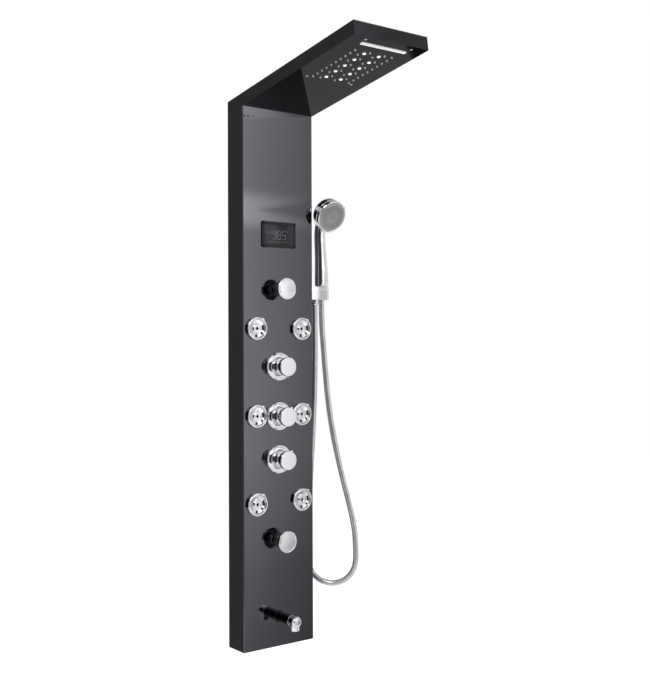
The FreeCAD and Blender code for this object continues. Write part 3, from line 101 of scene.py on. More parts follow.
# Corners of a rim's thumb lug, in parts of the rim's radius.
JET_LUG = ((0.44, 0.82), (0.66, 0.68), (0.78, 0.78), (0.56, 0.92))
# Sunk pockets of a body jet, black as a painted reflection of the chrome dish's dark surroundings:
# the angles at which each one starts and ends, and their depth.
JET_REFLECTION_SECTORS = ((-14.0, 28.0), (-52.0, -28.0), (-108.0, -86.0))
POCKET_DEPTH = 3.0
# Lowest height of a face, in millimetres, that belongs to the dish and not to the stem.
DISH_FLOOR = 3.0
# The knob on each joint, and the angle at which its peg stands out.
KNOBS = {"diverter_turn": ("diverter_knob", 180.0), "temperature_turn": ("temperature_knob", -30.0),
         "flow_turn": ("flow_knob", -30.0)}
# The display's digits, each with its place across, and the bars that each digit lights.
DIGITS = ((-13.0, 3), (0.0, 8), (15.0, 5))
DIGIT_BARS = {3: "abgcd", 8: "abcdefg", 5: "afgcd"}

# Places under the arm, in metres: the lights' rows and the plate's screws.
LIGHT_FIRST, LIGHT_PITCH, LIGHT_SIDE, LIGHT_ROWS = 0.4185, 0.0332, 0.020, 5
SCREW_ROWS, SCREW_SIDE = (0.475, 0.270), 0.062
# A lens's bright core: within this radius and above this height, in millimetres.
CORE_RADIUS, CORE_HEIGHT = 3.1, 1.85

# The hose's corners: down from the holder, round the loop and up to the handset.
HOSE_ROUTE = [
    (0.1200, -0.0470, 0.1610), (0.1200, -0.0470, 0.0960), (0.1210, -0.0456, 0.0180),
    (0.1218, -0.0414, -0.0680), (0.1216, -0.0352, -0.1560), (0.1210, -0.0284, -0.2420),
    (0.1203, -0.0220, -0.3200), (0.1200, -0.0176, -0.3880), (0.1205, -0.0153, -0.4420),
    (0.1214, -0.0149, -0.4863), (0.1376, -0.0297, -0.5176), (0.1643, -0.0550, -0.5295),
    (0.1910, -0.0802, -0.5176), (0.2075, -0.0958, -0.4863), (0.2080, -0.0963, -0.4370),
    (0.2053, -0.0939, -0.3860), (0.1946, -0.0864, -0.3280), (0.1812, -0.0765, -0.2620),
    (0.1682, -0.0670, -0.1900), (0.1569, -0.0586, -0.1100), (0.1496, -0.0533, -0.0260),
    (0.1450, -0.0499, 0.0540), (0.1410, -0.0470, 0.1180), (0.1410, -0.0470, 0.1720),
]

# Foot of the holder on the column's side, and height of the hand shower's foot, in metres.
HOLDER_FOOT = (0.100, -0.047, 0.174)
HANDSET_FOOT = 0.209
# Rings of the hand shower's nozzles: radius in millimetres and count.
SPRAY_RINGS = ((3.2, 5), (7.2, 9), (15.4, 18), (19.6, 24), (23.8, 28), (28.0, 34))
# Rise of the rounding at the back of the hand shower's head, in millimetres.
DRUM_RISE = 14.0

# Cards that only reflections see: centre, way that they face, width, height and glow.
CARDS = {
    "side_card": ((-1.75, 2.2, 0.4), (0.6, -0.8, 0.0), 2.6, 4.6, 0.20),
    "left_card": ((-2.7, -0.2, 0.0), (1.0, 0.0, 0.0), 2.4, 2.6, 0.75),
    "high_card": ((-0.3, 0.5, 1.5), (0.0, 0.0, -1.0), 1.4, 1.3, 0.03),
    "sky_card": ((1.1, 0.6, 1.5), (0.0, 0.0, -1.0), 1.4, 1.3, 0.30),
    "back_card": ((2.1, 2.3, -0.75), (-0.6, -0.65, 0.45), 3.2, 3.0, 0.24),
    "lens_card": ((-1.5, -2.63, 0.0), (0.57, 0.82, 0.0), 3.4, 2.6, 0.05),
}
# Brightest glow of the front card, and its share at some heights in metres.
FRONT_GLOW = 1.72
GLOW_STOPS = ((-1.40, 0.44), (-1.05, 0.55), (-0.75, 0.78), (-0.45, 0.96), (1.25, 1.0),
              (1.60, 0.46), (2.50, 0.42))
# Middle of the window in the front card, and the dark wedges that the column and arm mirror.
WINDOW_HEIGHT = 0.712
FACE_WEDGE = ((1.310, -2.15, 0.706), (1.691, -2.15, 0.673), (1.691, -2.15, 0.783))
ARM_WEDGE = ((2.370, 1.715, -1.160), (2.468, 1.745, -0.990), (2.640, 1.575, -1.010),
             (2.640, 1.575, -1.180))

# The range that a noise value keeps to.
NOISE_REACH = (0.25, 0.75)
# Sockets of a Mix node that hold its two colours and its result.
COLOUR_A, COLOUR_B, COLOUR_OUT = 6, 7, 2
WHITE = (1.0, 1.0, 1.0, 1.0)


# ------------------------------------------------------------------------------------ settings

def length(label, text, millimetres):
    """A size that the user can change, in Blender's own length unit."""
    return FloatProperty(name=label, description=text, default=millimetres * MM, min=0.0,
                         unit="LENGTH", precision=4)


def tint(label, text, red, green, blue):
    return FloatVectorProperty(name=label, description=text, default=(red, green, blue),
                               min=0.0, max=1.0, size=3, subtype="COLOR")


class FinishSettings(bpy.types.PropertyGroup):
    """Colours of the finishes."""
    black: tint("Black Steel", "Plated black steel of the column and arm", 0.098, 0.098, 0.110)
    chrome: tint("Chrome", "Polished chrome of the fittings", 0.66, 0.665, 0.685)
    hose: tint("Steel Hose", "Wound steel cover of the hose", 0.54, 0.545, 0.56)
    satin: tint("Spray Face", "Silver plastic of the handset's spray face", 0.37, 0.37, 0.38)
    plastic: tint("Black Plastic", "Black plastic of the display frame and sockets",
                  0.012, 0.012, 0.014)
    rubber: tint("Nozzle Rubber", "Silicone of the handset's nozzles", 0.05, 0.05, 0.055)
    pale: tint("Rain Nozzles", "Clear silicone of the rain nozzles", 0.78, 0.79, 0.82)
    light: tint("Lights", "Colour of the lights between the rain nozzles", 0.92, 0.96, 1.0)


class JetSettings(bpy.types.PropertyGroup):
    """Sizes of the six body jets."""
    radius: length("Rim Radius", "Outer radius of a jet's turning rim", 27.0)
    wall: length("Rim Width", "Width of the turning rim", 3.6)
    proud: length("Proud", "Height of the rim above the column's face", 8.0)
    nozzle: length("Nozzle Radius", "Radius of the raised nozzle", 10.5)
    dish: length("Dish Height", "Height of the dish around the nozzle", 3.6)


class SwivelSettings(bpy.types.PropertyGroup):
    """Sizes of the two swivel jets."""
    base: length("Base Radius", "Radius of the base on the column's face", 17.0)
    ball: length("Ball Radius", "Radius of the ball that the head turns on", 11.0)
    pivot: length("Ball Height", "Centre of the ball above the column's face", 7.0)
    head: length("Head Radius", "Radius of the head", 25.3)
    proud: length("Proud", "Face of the head above the column's face", 36.5)


class KnobSettings(bpy.types.PropertyGroup):
    """Sizes of the three knobs and their flanges."""
    flange: length("Flange Radius", "Radius of the flange behind a knob", 35.3)
    flange_proud: length("Flange Height", "Height of the flange above the face", 10.0)
    sleeve: length("Sleeve Radius", "Radius of the knob's sleeve", 19.5)
    cap: length("Cap Radius", "Radius of the knob's cap", 22.5)
    proud: length("Proud", "End of the knob above the face", 41.0)


class HandsetSettings(bpy.types.PropertyGroup):
    """Sizes of the hand shower."""
    head: length("Head Radius", "Radius of the handset's head", 40.0)
    thick: length("Head Thickness", "Head from its face to its back", 36.0)
    hose: length("Hose Radius", "Outer radius of the steel hose", 7.2)
    pitch: length("Hose Pitch", "Length of one winding of the hose's cover", 4.4)


class StudioSettings(bpy.types.PropertyGroup):
    """The floor and the lights."""
    drop: length("Floor", "Floor below the bottom of the column", 1000.0)
    world: FloatProperty(name="World", description="Strength of the light from all round",
                         default=0.62, min=0.0)
    key: FloatProperty(name="Key Light", description="Power of the key light", default=46.0,
                       min=0.0, unit="POWER")
    steps: IntProperty(name="Turned Steps", description="Segments of a turned piece",
                       default=72, min=24, max=180)


def in_mm(sizes, names):
    """Sizes of a group of settings, in millimetres."""
    return [getattr(sizes, name) / MM for name in names.split()]


# --------------------------------------------------------------------------- places and outlines

def moved(x, y, z):
    return Matrix.Translation((x, y, z))


def turned(degrees, axis):
    return Matrix.Rotation(radians(degrees), 4, axis)


def on_face(spot):
    """Frame of a fitting on the column's face, in millimetres: Z out of the face, Y up."""
    return moved(spot[0], FACE, spot[2]) @ turned(90.0, "X") @ IN_MM


def at_joint(name):
    """Frame of a fitting on the column's face, at a joint."""
    return on_face(JOINTS[name]["pos_m"])


def under_arm(x, along):
    """Frame of a piece on the spray plate, in millimetres: Z down, Y out from the wall."""
    turn = Matrix.Rotation(pi - ARM_RISE, 4, "X")
    return Matrix.Translation(ARM_ROOT) @ turn @ moved(x, along, 0) @ IN_MM


def soften(outline, closed, steps=4):
    """Corners (radius, height, rounding) as points, with an arc at each rounded corner."""
    points = []
    for index, corner in enumerate(outline):
        here = Vector((corner[0], corner[1], 0.0))
        at_end = not closed and index in (0, len(outline) - 1)
        if len(corner) < 3 or at_end:
            points.append(here)
            continue
        before = Vector((*outline[index - 1][:2], 0.0)) - here
        after = Vector((*outline[(index + 1) % len(outline)][:2], 0.0)) - here
        half = before.angle(after) / 2
        reach = min(corner[2] / tan(half), before.length * 0.49, after.length * 0.49)
        radius = reach * tan(half)
        centre = here + (before.normalized() + after.normalized()).normalized() * radius / sin(half)
        start = (here + before.normalized() * reach - centre).normalized()
        end = (here + after.normalized() * reach - centre).normalized()
        points.append(here + before.normalized() * min(reach + EDGE_STRIP, before.length / 2))
        points += [centre + start.slerp(end, step / steps) * radius for step in range(steps + 1)]
        points.append(here + after.normalized() * min(reach + EDGE_STRIP, after.length / 2))
    return [(point.x, point.y) for point in points]


def bend(start, end, radius, steps=8):
    """Points of an arc that bulges to the right of the way from start to end."""
    start, end = Vector(start), Vector(end)
    half = (end - start) / 2
    inward = Vector((-half.y, half.x)).normalized()
    centre = start + half + inward * sqrt(radius ** 2 - half.length_squared)
    first, last = (start - centre).normalized(), (end - centre).normalized()
    return [tuple(centre + first.slerp(last, step / steps) * radius) for step in range(steps + 1)]


def ball_points(height, radius, low, high, steps=10):
    """Points of an arc about the axis, from one angle above level to another."""
    turns = [radians(low + (high - low) * step / steps) for step in range(steps + 1)]
    return [(radius * cos(turn), height + radius * sin(turn)) for turn in turns]


def drum_back(head, thick):
    """The full, rounded back of the hand shower's head, from near its middle to its side."""
    turns = [radians(7.5 * step) for step in range(1, 12)]
    return [(head * sin(turn) ** 0.7, DRUM_RISE - thick - DRUM_RISE * cos(turn) ** 0.7)
            for turn in turns]


# ------------------------------------------------------------------------------ mesh helpers

def faces_since(mesh, known):
    """The faces made since a set of them was taken, and their vertices."""
    faces = [face for face in mesh.faces if face not in known]
    return faces, list({vert for face in faces for vert in face.verts})


def made_by(result, kind):
    """The vertices, edges or faces that an extrusion has just made."""
    return [item for item in result["geom"] if isinstance(item, kind)]


def lathe(mesh, corners, place, closed=False, steps=None):
    """Spins an outline of corners about Z and puts it in place; gives back the new faces."""
    known = set(mesh.faces)
    steps = steps or bpy.context.scene.shower_studio.steps
    points = [mesh.verts.new((radius, 0.0, height)) for radius, height in soften(corners, closed)]
    pairs = list(zip(points, points[1:])) + ([(points[-1], points[0])] if closed else [])
    edges = [mesh.edges.new(pair) for pair in pairs]
    bmesh.ops.spin(mesh, geom=points + edges, cent=(0, 0, 0), axis=(0, 0, 1), dvec=(0, 0, 0),
                   angle=2 * pi, steps=steps, use_merge=True)
    bmesh.ops.remove_doubles(mesh, verts=faces_since(mesh, known)[1], dist=1e-4)
    faces, verts = faces_since(mesh, known)
    bmesh.ops.transform(mesh, matrix=place, verts=verts)
    return faces


def round_off(mesh, geometry, rounding, segments=3, affect="EDGES", clamp=False):
    return bmesh.ops.bevel(mesh, geom=geometry, offset=rounding, offset_type="OFFSET",
                           affect=affect, segments=segments, profile=0.5, material=-1,
                           clamp_overlap=clamp)


def block(mesh, size, place, rounding=0.0, segments=3):
    """A box with rounded edges."""
    verts = bmesh.ops.create_cube(mesh, size=1.0)["verts"]
    bmesh.ops.scale(mesh, vec=size, verts=verts)
    if rounding:
        edges = list({edge for vert in verts for edge in vert.link_edges})
        rounded = round_off(mesh, edges, rounding, segments)
        verts = list({vert for face in rounded["faces"] for vert in face.verts})
    bmesh.ops.transform(mesh, matrix=place, verts=verts)


def prism(mesh, corners, low, high, place, rounding):
    """An upright block on a plan of corners, with rounded edges."""
    base = [mesh.verts.new((x, y, low)) for x, y in corners]
    raised = bmesh.ops.extrude_face_region(mesh, geom=[mesh.faces.new(base)])
    top = made_by(raised, bmesh.types.BMVert)
    bmesh.ops.translate(mesh, verts=top, vec=(0, 0, high - low))
    edges = list({edge for vert in base + top for edge in vert.link_edges
                  if edge.is_manifold and edge.calc_face_angle(0.0) > radians(40)})
    rounded = round_off(mesh, edges, rounding, clamp=True)
    verts = {*base, *top, *(vert for face in rounded["faces"] for vert in face.verts)}
    bmesh.ops.transform(mesh, matrix=place, verts=[vert for vert in verts if vert.is_valid])


def nozzles(mesh, place, radius, count, first, height, sizes, segments):
    """A ring of small cones; sizes are the radii at foot and tip, and the height of each."""
    foot, tip, depth = sizes
    for number in range(count):
        spin = Matrix.Rotation(2 * pi * (number + first) / count, 4, "Z")
        bmesh.ops.create_cone(mesh, cap_ends=True, segments=segments, radius1=foot, radius2=tip,
                              depth=depth, matrix=place @ spin @ moved(radius, 0, height))


def loft(mesh, sections, sides=40):
    """Joins ellipses, each (place, half width, half depth), into one closed skin."""
    rings = []
    for place, wide, deep in sections:
        known = set(mesh.edges)
        shape = place @ Matrix.Diagonal((wide, deep, 1.0, 1.0))
        bmesh.ops.create_circle(mesh, segments=sides, radius=1.0, matrix=shape,
                                cap_ends=place in (sections[0][0], sections[-1][0]))
        rings.append([edge for edge in mesh.edges if edge not in known])
    for near, far in zip(rings, rings[1:]):
        bmesh.ops.bridge_loops(mesh, edges=near + far)


def finish_piece(name, mesh, finishes, body, slot, *replaced):
    """Turns a bmesh into a finished piece that rides on a body; its record slot is not used."""
    bmesh.ops.remove_doubles(mesh, verts=mesh.verts, dist=1e-6)
    bmesh.ops.recalc_face_normals(mesh, faces=mesh.faces)
    data = bpy.data.meshes.new(name)
    mesh.to_mesh(data)
    mesh.free()
    for finish in finishes.split():
        data.materials.append(material_of(finish))
    data.shade_smooth()
    data.set_sharp_from_angle(angle=SMOOTH_BELOW)
    piece = bpy.data.objects.new(name, data)
    bpy.context.scene.collection.objects.link(piece)
    if body:
        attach(piece, body)
    if replaced:
        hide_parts(*replaced)
    return piece


def polar(face, place):
    """A face's middle in its piece's frame: distance from the axis, angle in degrees, height."""
    spot = place.inverted() @ face.calc_center_median()
    return sqrt(spot.x ** 2 + spot.y ** 2), atan2(spot.y, spot.x) * 180 / pi, spot.z


def sink_reflection_sector(mesh, faces, place, radii, sector):
    """Sinks one sector of a turned dish and blackens it, a painted reflection of the dish's dark
    surroundings.
    """
    chosen = []
    for face in faces:
        radius, angle, height = polar(face, place)
        in_sector = radii[0] < radius < radii[1] and sector[0] < angle < sector[1]
        if in_sector and height > DISH_FLOOR:
            chosen.append(face)
    bmesh.ops.inset_region(mesh, faces=chosen, thickness=0.35 * MM, depth=0.0,
                           use_even_offset=True)
    walls = bmesh.ops.extrude_face_region(mesh, geom=chosen)
    bmesh.ops.delete(mesh, geom=chosen, context="FACES_ONLY")
    bmesh.ops.translate(mesh, verts=made_by(walls, bmesh.types.BMVert),
                        vec=(0.0, POCKET_DEPTH * MM, 0.0))
    # Painted reflection: the pocket's floor and walls take the black finish.
    for face in made_by(walls, bmesh.types.BMFace):
        face.material_index = 1


def flute(mesh, faces, place, radius, low, high):
    """Draws in every third strip of a turned wall, for grip."""
    strips = []
    for face in faces:
        away, angle, height = polar(face, place)
        if away > radius - 0.2 and low < height < high and int((angle + 180.0) // 6.0) % 3 == 0:
            strips.append(face)
    bmesh.ops.inset_individual(mesh, faces=strips, thickness=0.12 * MM, depth=-0.35 * MM,
                               use_even_offset=True)


# --------------------------------------------------------------------------------- materials

def new_material(name, colour, metallic, roughness):
    material = bpy.data.materials.new(name)
    material.use_nodes = True
    shader = shader_of(material)
    shader.inputs["Base Color"].default_value = (*colour, 1.0)
    shader.inputs["Metallic"].default_value = metallic
    shader.inputs["Roughness"].default_value = roughness
    return material


def shader_of(material):
    return material.node_tree.nodes["Principled BSDF"]


def tinted(name):
    """One of the colours that the user can change."""
    return getattr(bpy.context.scene.shower_finishes, name)


def own_coordinates(tree):
    """A piece's own coordinates, as a vector."""
    return tree.nodes.new("ShaderNodeTexCoord").outputs["Object"]


def object_noise(material, scale, detail=2.0, stretch=(1.0, 1.0, 1.0), turn=0.0):
    """Noise on the piece's own coordinates, stretched along its axes, as a value."""
    nodes, links = material.node_tree.nodes, material.node_tree.links
    mapping = nodes.new("ShaderNodeMapping")
    mapping.inputs["Rotation"].default_value = (turn, 0.0, 0.0)
    mapping.inputs["Scale"].default_value = stretch
    noise = nodes.new("ShaderNodeTexNoise")
    noise.inputs["Scale"].default_value = scale
    noise.inputs["Detail"].default_value = detail
    links.new(own_coordinates(material.node_tree), mapping.inputs["Vector"])
    links.new(mapping.outputs["Vector"], noise.inputs["Vector"])
    return noise.outputs["Fac"]


def fade(tree, value, start, end, kind="LINEAR"):
    """Maps a value from its range (start) to another (end)."""
    ranges = tree.nodes.new("ShaderNodeMapRange")
    ranges.interpolation_type = kind
    for name, limit in zip(("From Min", "From Max", "To Min", "To Max"), (*start, *end)):
        ranges.inputs[name].default_value = limit
    tree.links.new(value, ranges.inputs["Value"])
    return ranges.outputs["Result"]


def vary_roughness(material, value, low, high):
    tree = material.node_tree
    tree.links.new(fade(tree, value, NOISE_REACH, (low, high)),
                   shader_of(material).inputs["Roughness"])


def vary_colour(material, value, colour, low, high):
    """Shades a colour between two brightnesses."""
    tree = material.node_tree
    mix = tree.nodes.new("ShaderNodeMix")
    mix.data_type = "RGBA"
    mix.inputs[COLOUR_A].default_value = (*[part * low for part in colour], 1.0)
    mix.inputs[COLOUR_B].default_value = (*[min(part * high, 1.0) for part in colour], 1.0)
    tree.links.new(fade(tree, value, NOISE_REACH, (0.0, 1.0)), mix.inputs["Factor"])
    tree.links.new(mix.outputs[COLOUR_OUT], shader_of(material).inputs["Base Color"])


def add_bump(material, value, strength, depth):
    nodes, links = material.node_tree.nodes, material.node_tree.links
    bump = nodes.new("ShaderNodeBump")
    bump.inputs["Strength"].default_value = strength
    bump.inputs["Distance"].default_value = depth
    links.new(value, bump.inputs["Height"])
    links.new(bump.outputs["Normal"], shader_of(material).inputs["Normal"])


def mottled(name, colour, metallic, roughness, grain, rough, cloud, shades, bump=None):
    """A finish whose roughness follows a fine grain, and its colour wider clouds.

    The grain and the cloud are the scale and detail of a noise. The grain's bump is a strength
    and a depth.
    """
    material = new_material(name, colour, metallic, roughness)
    skin = object_noise(material, *grain)
    vary_roughness(material, skin, *rough)
    vary_colour(material, object_noise(material, *cloud), colour, *shades)
    if bump:
        add_bump(material, skin, *bump)
    return material


def brushed_black(name, turn):
    """Mirror-like black plating over steel with a fine brushing along one way."""
    colour = tinted("black")
    material = new_material(name, colour, 1.0, 0.05)
    brushing = object_noise(material, 900.0, 2.0, (1.0, 1.0, 0.012), turn)
    clouds = object_noise(material, 5.0, 4.0, (1.0, 1.0, 0.6), turn)
    vary_roughness(material, brushing, 0.035, 0.065)
    vary_colour(material, clouds, colour, 0.93, 1.07)
    add_bump(material, brushing, 0.012, 0.0001)
    return material


def polished_chrome():
    return mottled("polished_chrome", tinted("chrome"), 1.0, 0.05, (60.0, 4.0), (0.035, 0.085),
                   (14.0, 3.0), (0.96, 1.02))


def black_chrome():
    """Dark plated finish of the spout's tube."""
    return mottled("black_chrome", tinted("black"), 1.0, 0.09, (90.0, 3.0), (0.06, 0.12),
                   (20.0, 2.0), (0.16, 0.24))


def wound_steel():
    return mottled("wound_steel", tinted("hose"), 1.0, 0.16, (300.0, 3.0), (0.12, 0.22),
                   (40.0, 3.0), (0.86, 1.08))


def satin_silver():
    return mottled("satin_silver", tinted("satin"), 0.55, 0.34, (500.0, 2.0), (0.29, 0.40),
                   (30.0, 2.0), (0.94, 1.06), (0.05, 0.0001))


def moulded(name, colour, roughness, grain=700.0):
    """Moulded plastic or rubber with a fine grain."""
    return mottled(name, colour, 0.0, roughness, (grain, 2.0),
                   (roughness * 0.85, roughness * 1.15), (25.0, 2.0), (0.92, 1.08), (0.08, 0.0001))


def metal(name, colour, roughness, cloud=22.0):
    """Plain hidden metalwork: zinc, brass or copper with a slight stain."""
    material = mottled(name, colour, 1.0, roughness, (180.0, 4.0),
                       (roughness * 0.7, roughness * 1.35), (cloud, 5.0), (0.78, 1.10))
    add_bump(material, object_noise(material, 260.0, 3.0), 0.10, 0.0002)
    return material


def dark_glass():
    material = mottled("dark_glass", (0.018, 0.019, 0.024), 0.0, 0.10, (45.0, 2.0), (0.06, 0.14),
                       (18.0, 2.0), (0.8, 1.2))
    shader_of(material).inputs["Specular IOR Level"].default_value = 0.30
    return material


def frame_black():
    """Low-sheen black plastic of the display's frame."""
    material = moulded("frame_black", tinted("plastic"), 0.34)
    shader_of(material).inputs["Specular IOR Level"].default_value = 0.22
    return material


def shine(material, colour, strength):
    shader_of(material).inputs["Emission Color"].default_value = colour
    shader_of(material).inputs["Emission Strength"].default_value = strength


def lit(name, colour, strength):
    """Clear plastic with a light behind it."""
    material = new_material(name, colour, 0.0, 0.2)
    shine(material, (*colour, 1.0), strength)
    vary_roughness(material, object_noise(material, 400.0), 0.12, 0.28)
    return material


def lip_with_painted_glow():
    """Bright satin steel of the waterfall's lip, with a painted highlight: a white glow stands in
    for the bright reflection along the lip.
    """
    material = mottled("satin_steel_lip", (0.95, 0.95, 0.96), 0.25, 0.5, (200.0, 3.0),
                       (0.44, 0.58), (30.0, 2.0), (0.94, 1.04))
    # Painted highlight: the lip glows white though it holds no lamp.
    shine(material, WHITE, 0.42)
    return material


MATERIALS = {
    "column_steel": lambda: brushed_black("black_steel_column", 0.0),
    "arm_steel": lambda: brushed_black("black_steel_arm", pi / 2 - ARM_RISE),
    "chrome": polished_chrome,
    "black_chrome": black_chrome,
    "wound_steel": wound_steel,
    "satin": satin_silver,
    "plastic": lambda: moulded("black_plastic", tinted("plastic"), 0.22),
    "rubber": lambda: moulded("nozzle_rubber", tinted("rubber"), 0.5),
    "frame": frame_black,
    "nylon": lambda: moulded("black_nylon", (0.02, 0.02, 0.022), 0.36),
    "glass": dark_glass,
    "digits": lambda: lit("display_digits", (0.16, 0.17, 0.19), 0.10),
    "light": lambda: lit("light_core", tinted("light"), 1.4),
    "lens": lambda: lit("light_lens", tinted("light"), 0.22),
    "nozzle": lambda: moulded("rain_nozzle", tinted("pale"), 0.42),
    "lip": lip_with_painted_glow,
    "strip": lambda: moulded("light_strip", (0.55, 0.56, 0.52), 0.45),
    "zinc": lambda: metal("galvanised_steel", (0.50, 0.51, 0.52), 0.42, 60.0),
    "brass": lambda: metal("cast_brass", (0.62, 0.47, 0.22), 0.34),
    "copper": lambda: metal("copper_pipe", (0.72, 0.36, 0.22), 0.26),
    "tray": lambda: moulded("chamber_plastic", (0.30, 0.31, 0.32), 0.42),
    "board": lambda: moulded("circuit_board", (0.02, 0.09, 0.05), 0.5),
}
# The CAD solids that keep their own shape, by finish.
PLAIN_SOLIDS = {
    "column_steel": "column_casing",
    "arm_steel": "arm_shell spray_plate",
    "zinc": "hanger_bars wall_brackets",
    "brass": "jet_back_nuts swivel_jet_nuts spout_nut holder_nut valve_cartridges diverter_body "
             "mixer_body flow_valve_body supply_inlets",
    "copper": "link_pipes jet_rails rain_pipe waterfall_pipe upper_jet_pipe lower_jet_pipe "
              "spout_pipe handset_pipe",
    "tray": "rain_chamber waterfall_chamber water_turbine",
    "nylon": "upper_jet_seat lower_jet_seat",
    "lip": "waterfall_lip",
    "strip": "light_strips",
    "nozzle": "rain_nozzle_mat",
    "board": "display_module",
}


@cache
def material_of(key):
    """Makes a finish once and gives it back each time that it is asked for."""
    return MATERIALS[key]()


# -------------------------------------------------------------------------------- the pieces

class PieceOperator:
    """What all the operators of the pieces share."""
    bl_options = {"REGISTER", "UNDO"}


class SHOWER_OT_steel(PieceOperator, bpy.types.Operator):
    """Gives the steelwork, plumbing and inner parts their finishes"""
    bl_idname = "shower.steel"
    bl_label = "Steel and Plumbing"

    def execute(self, context):
        for key, names in PLAIN_SOLIDS.items():
            for name in names.split():
                for slot in NODES[name].material_slots:
                    slot.material = material_of(key)
        return {"FINISHED"}


class SHOWER_OT_seam_shade_strip(PieceOperator, bpy.types.Operator):
    """Builds a black strip just behind the seam between the column's face and the spray plate, for
    painted shade: it stops the light through the gap and keeps the seam dark
    """
    bl_idname = "shower.seam_seal"
    bl_label = "Seam Seal"

    def execute(self, context):
        wide, deep, tall, inset = 0.196, 0.0012, 0.0036, 0.0018
        seam = ARM_ROOT.z - FACE * tan(ARM_RISE)
        mesh = bmesh.new()
        # Painted shade: a black strip put in the seam, where there is only shade.
        block(mesh, (wide, deep, tall), moved(0.0, FACE + inset, seam + 0.0004))
        finish_piece("seam_seal", mesh, "plastic", "panel", "black_plastic")
        return {"FINISHED"}


class SHOWER_OT_body_jets(PieceOperator, bpy.types.Operator):
    """Builds the nozzles and turning rims of the six body jets"""
    bl_idname = "shower.body_jets"
    bl_label = "Body Jets"

    def execute(self, context):
        rim, wall, proud, nozzle, dish = in_mm(context.scene.shower_jets,
                                               "radius wall proud nozzle dish")
        inner = rim - wall
        edge = inner - 0.3
        face = [
            (3.0, STEM), (12.0, STEM), (12.0, 0.0), (edge, 0.0), (edge, proud - 2.2, 0.5),
            (edge - 1.6, proud - 1.6, 0.6), (edge - 2.4, dish + 0.6, 0.8),
            (nozzle + 2.6, dish, 0.6), (nozzle + 1.2, dish + 0.5, 0.3), (nozzle, dish + 0.3, 0.3),
            (nozzle, proud - 2.4, 0.4), (nozzle - 1.3, proud - 1.4, 0.5), (7.4, proud - 1.4, 0.2),
            (7.0, proud - 2.0, 0.2), (6.3, proud - 2.0, 0.2), (5.8, proud - 1.3, 0.3),
            (4.6, proud - 1.3, 0.4), (3.0, proud - 3.2, 0.3),
        ]
        ring = [(inner, 0.3), (rim, 0.3), (rim, proud, 2.2), (inner, proud, 0.9)]
        lug = [(rim * x, rim * y) for x, y in JET_LUG]
        mesh = bmesh.new()
        for name in JET_PLACES:
            place = at_joint(f"jet_shutoff_{name}")
            faces = lathe(mesh, face, place, closed=True)
            # Black pockets at the same angles on every jet: painted reflection.
            for sector in JET_REFLECTION_SECTORS:
                sink_reflection_sector(mesh, faces, place, (nozzle + 3.0, edge - 2.8), sector)
                faces = [kept for kept in faces if kept.is_valid]
        finish_piece("jet_faces", mesh, "chrome plastic", "panel", "chrome", "jet_nozzles")

        for name in JET_PLACES:
            mesh = bmesh.new()
            place = at_joint(f"jet_shutoff_{name}")
            lathe(mesh, ring, place, closed=True)
            prism(mesh, lug, proud / 2, proud - 0.6, place, 0.5)
            finish_piece(f"rim_{name}", mesh, "chrome", f"jet_rim_{name}", "chrome",
                         f"jet_rim_{name}")
        return {"FINISHED"}


class SHOWER_OT_swivel_jets(PieceOperator, bpy.types.Operator):
    """Builds the bases and heads of the two swivel jets"""
    bl_idname = "shower.swivel_jets"
    bl_label = "Swivel Jets"

    def execute(self, context):
        base, ball, pivot, head, proud = in_mm(context.scene.shower_swivels,
                                               "base ball pivot head proud")
        cup = [
            (5.0, STEM), (12.7, STEM), (12.7, 0.0), (base, 0.0), (base, 6.0, 1.8),
            (base - 2.0, 6.0, 0.4), (base - 2.0, 0.5), (9.3, 0.5), (9.3, -5.0), (5.0, -5.0),
        ]
        back = proud - 9.0
        shape = ball_points(pivot, ball, -90.0, 44.0) + [
            (7.9, 15.6), (7.9, 17.0, 0.5), (13.0, 17.6, 1.0), (13.0, 20.6, 1.0), (9.0, 21.2, 0.5),
            (9.0, 23.4, 0.8), (head - 5.0, back - 1.5, 2.0), (head, back + 1.5, 1.2),
            (head, proud, 1.7), (head - 2.2, proud, 0.5), (head - 2.8, proud - 0.9, 0.3),
            (head - 4.4, proud - 0.9, 0.4), (head - 5.2, proud - 0.3, 0.5),
            (8.0, proud - 0.1), (0.0, proud),
        ]
        places = {level: at_joint(f"{level}_jet_tilt") for level in ("upper", "lower")}
        mesh = bmesh.new()
        for place in places.values():
            lathe(mesh, cup, place, closed=True)
        finish_piece("swivel_bases", mesh, "plastic", "panel", "black_plastic",
                     "swivel_jet_bases")
        for level, place in places.items():
            mesh = bmesh.new()
            lathe(mesh, shape, place)
            lug = place @ turned(42.0, "Z") @ moved(head - 0.4, 0, proud - 4.6)
            block(mesh, (5.0, 5.0, 5.0), lug, 1.1)
            finish_piece(f"swivel_head_{level}", mesh, "chrome", f"{level}_jet_head", "chrome",
                         f"{level}_jet_head")
        return {"FINISHED"}


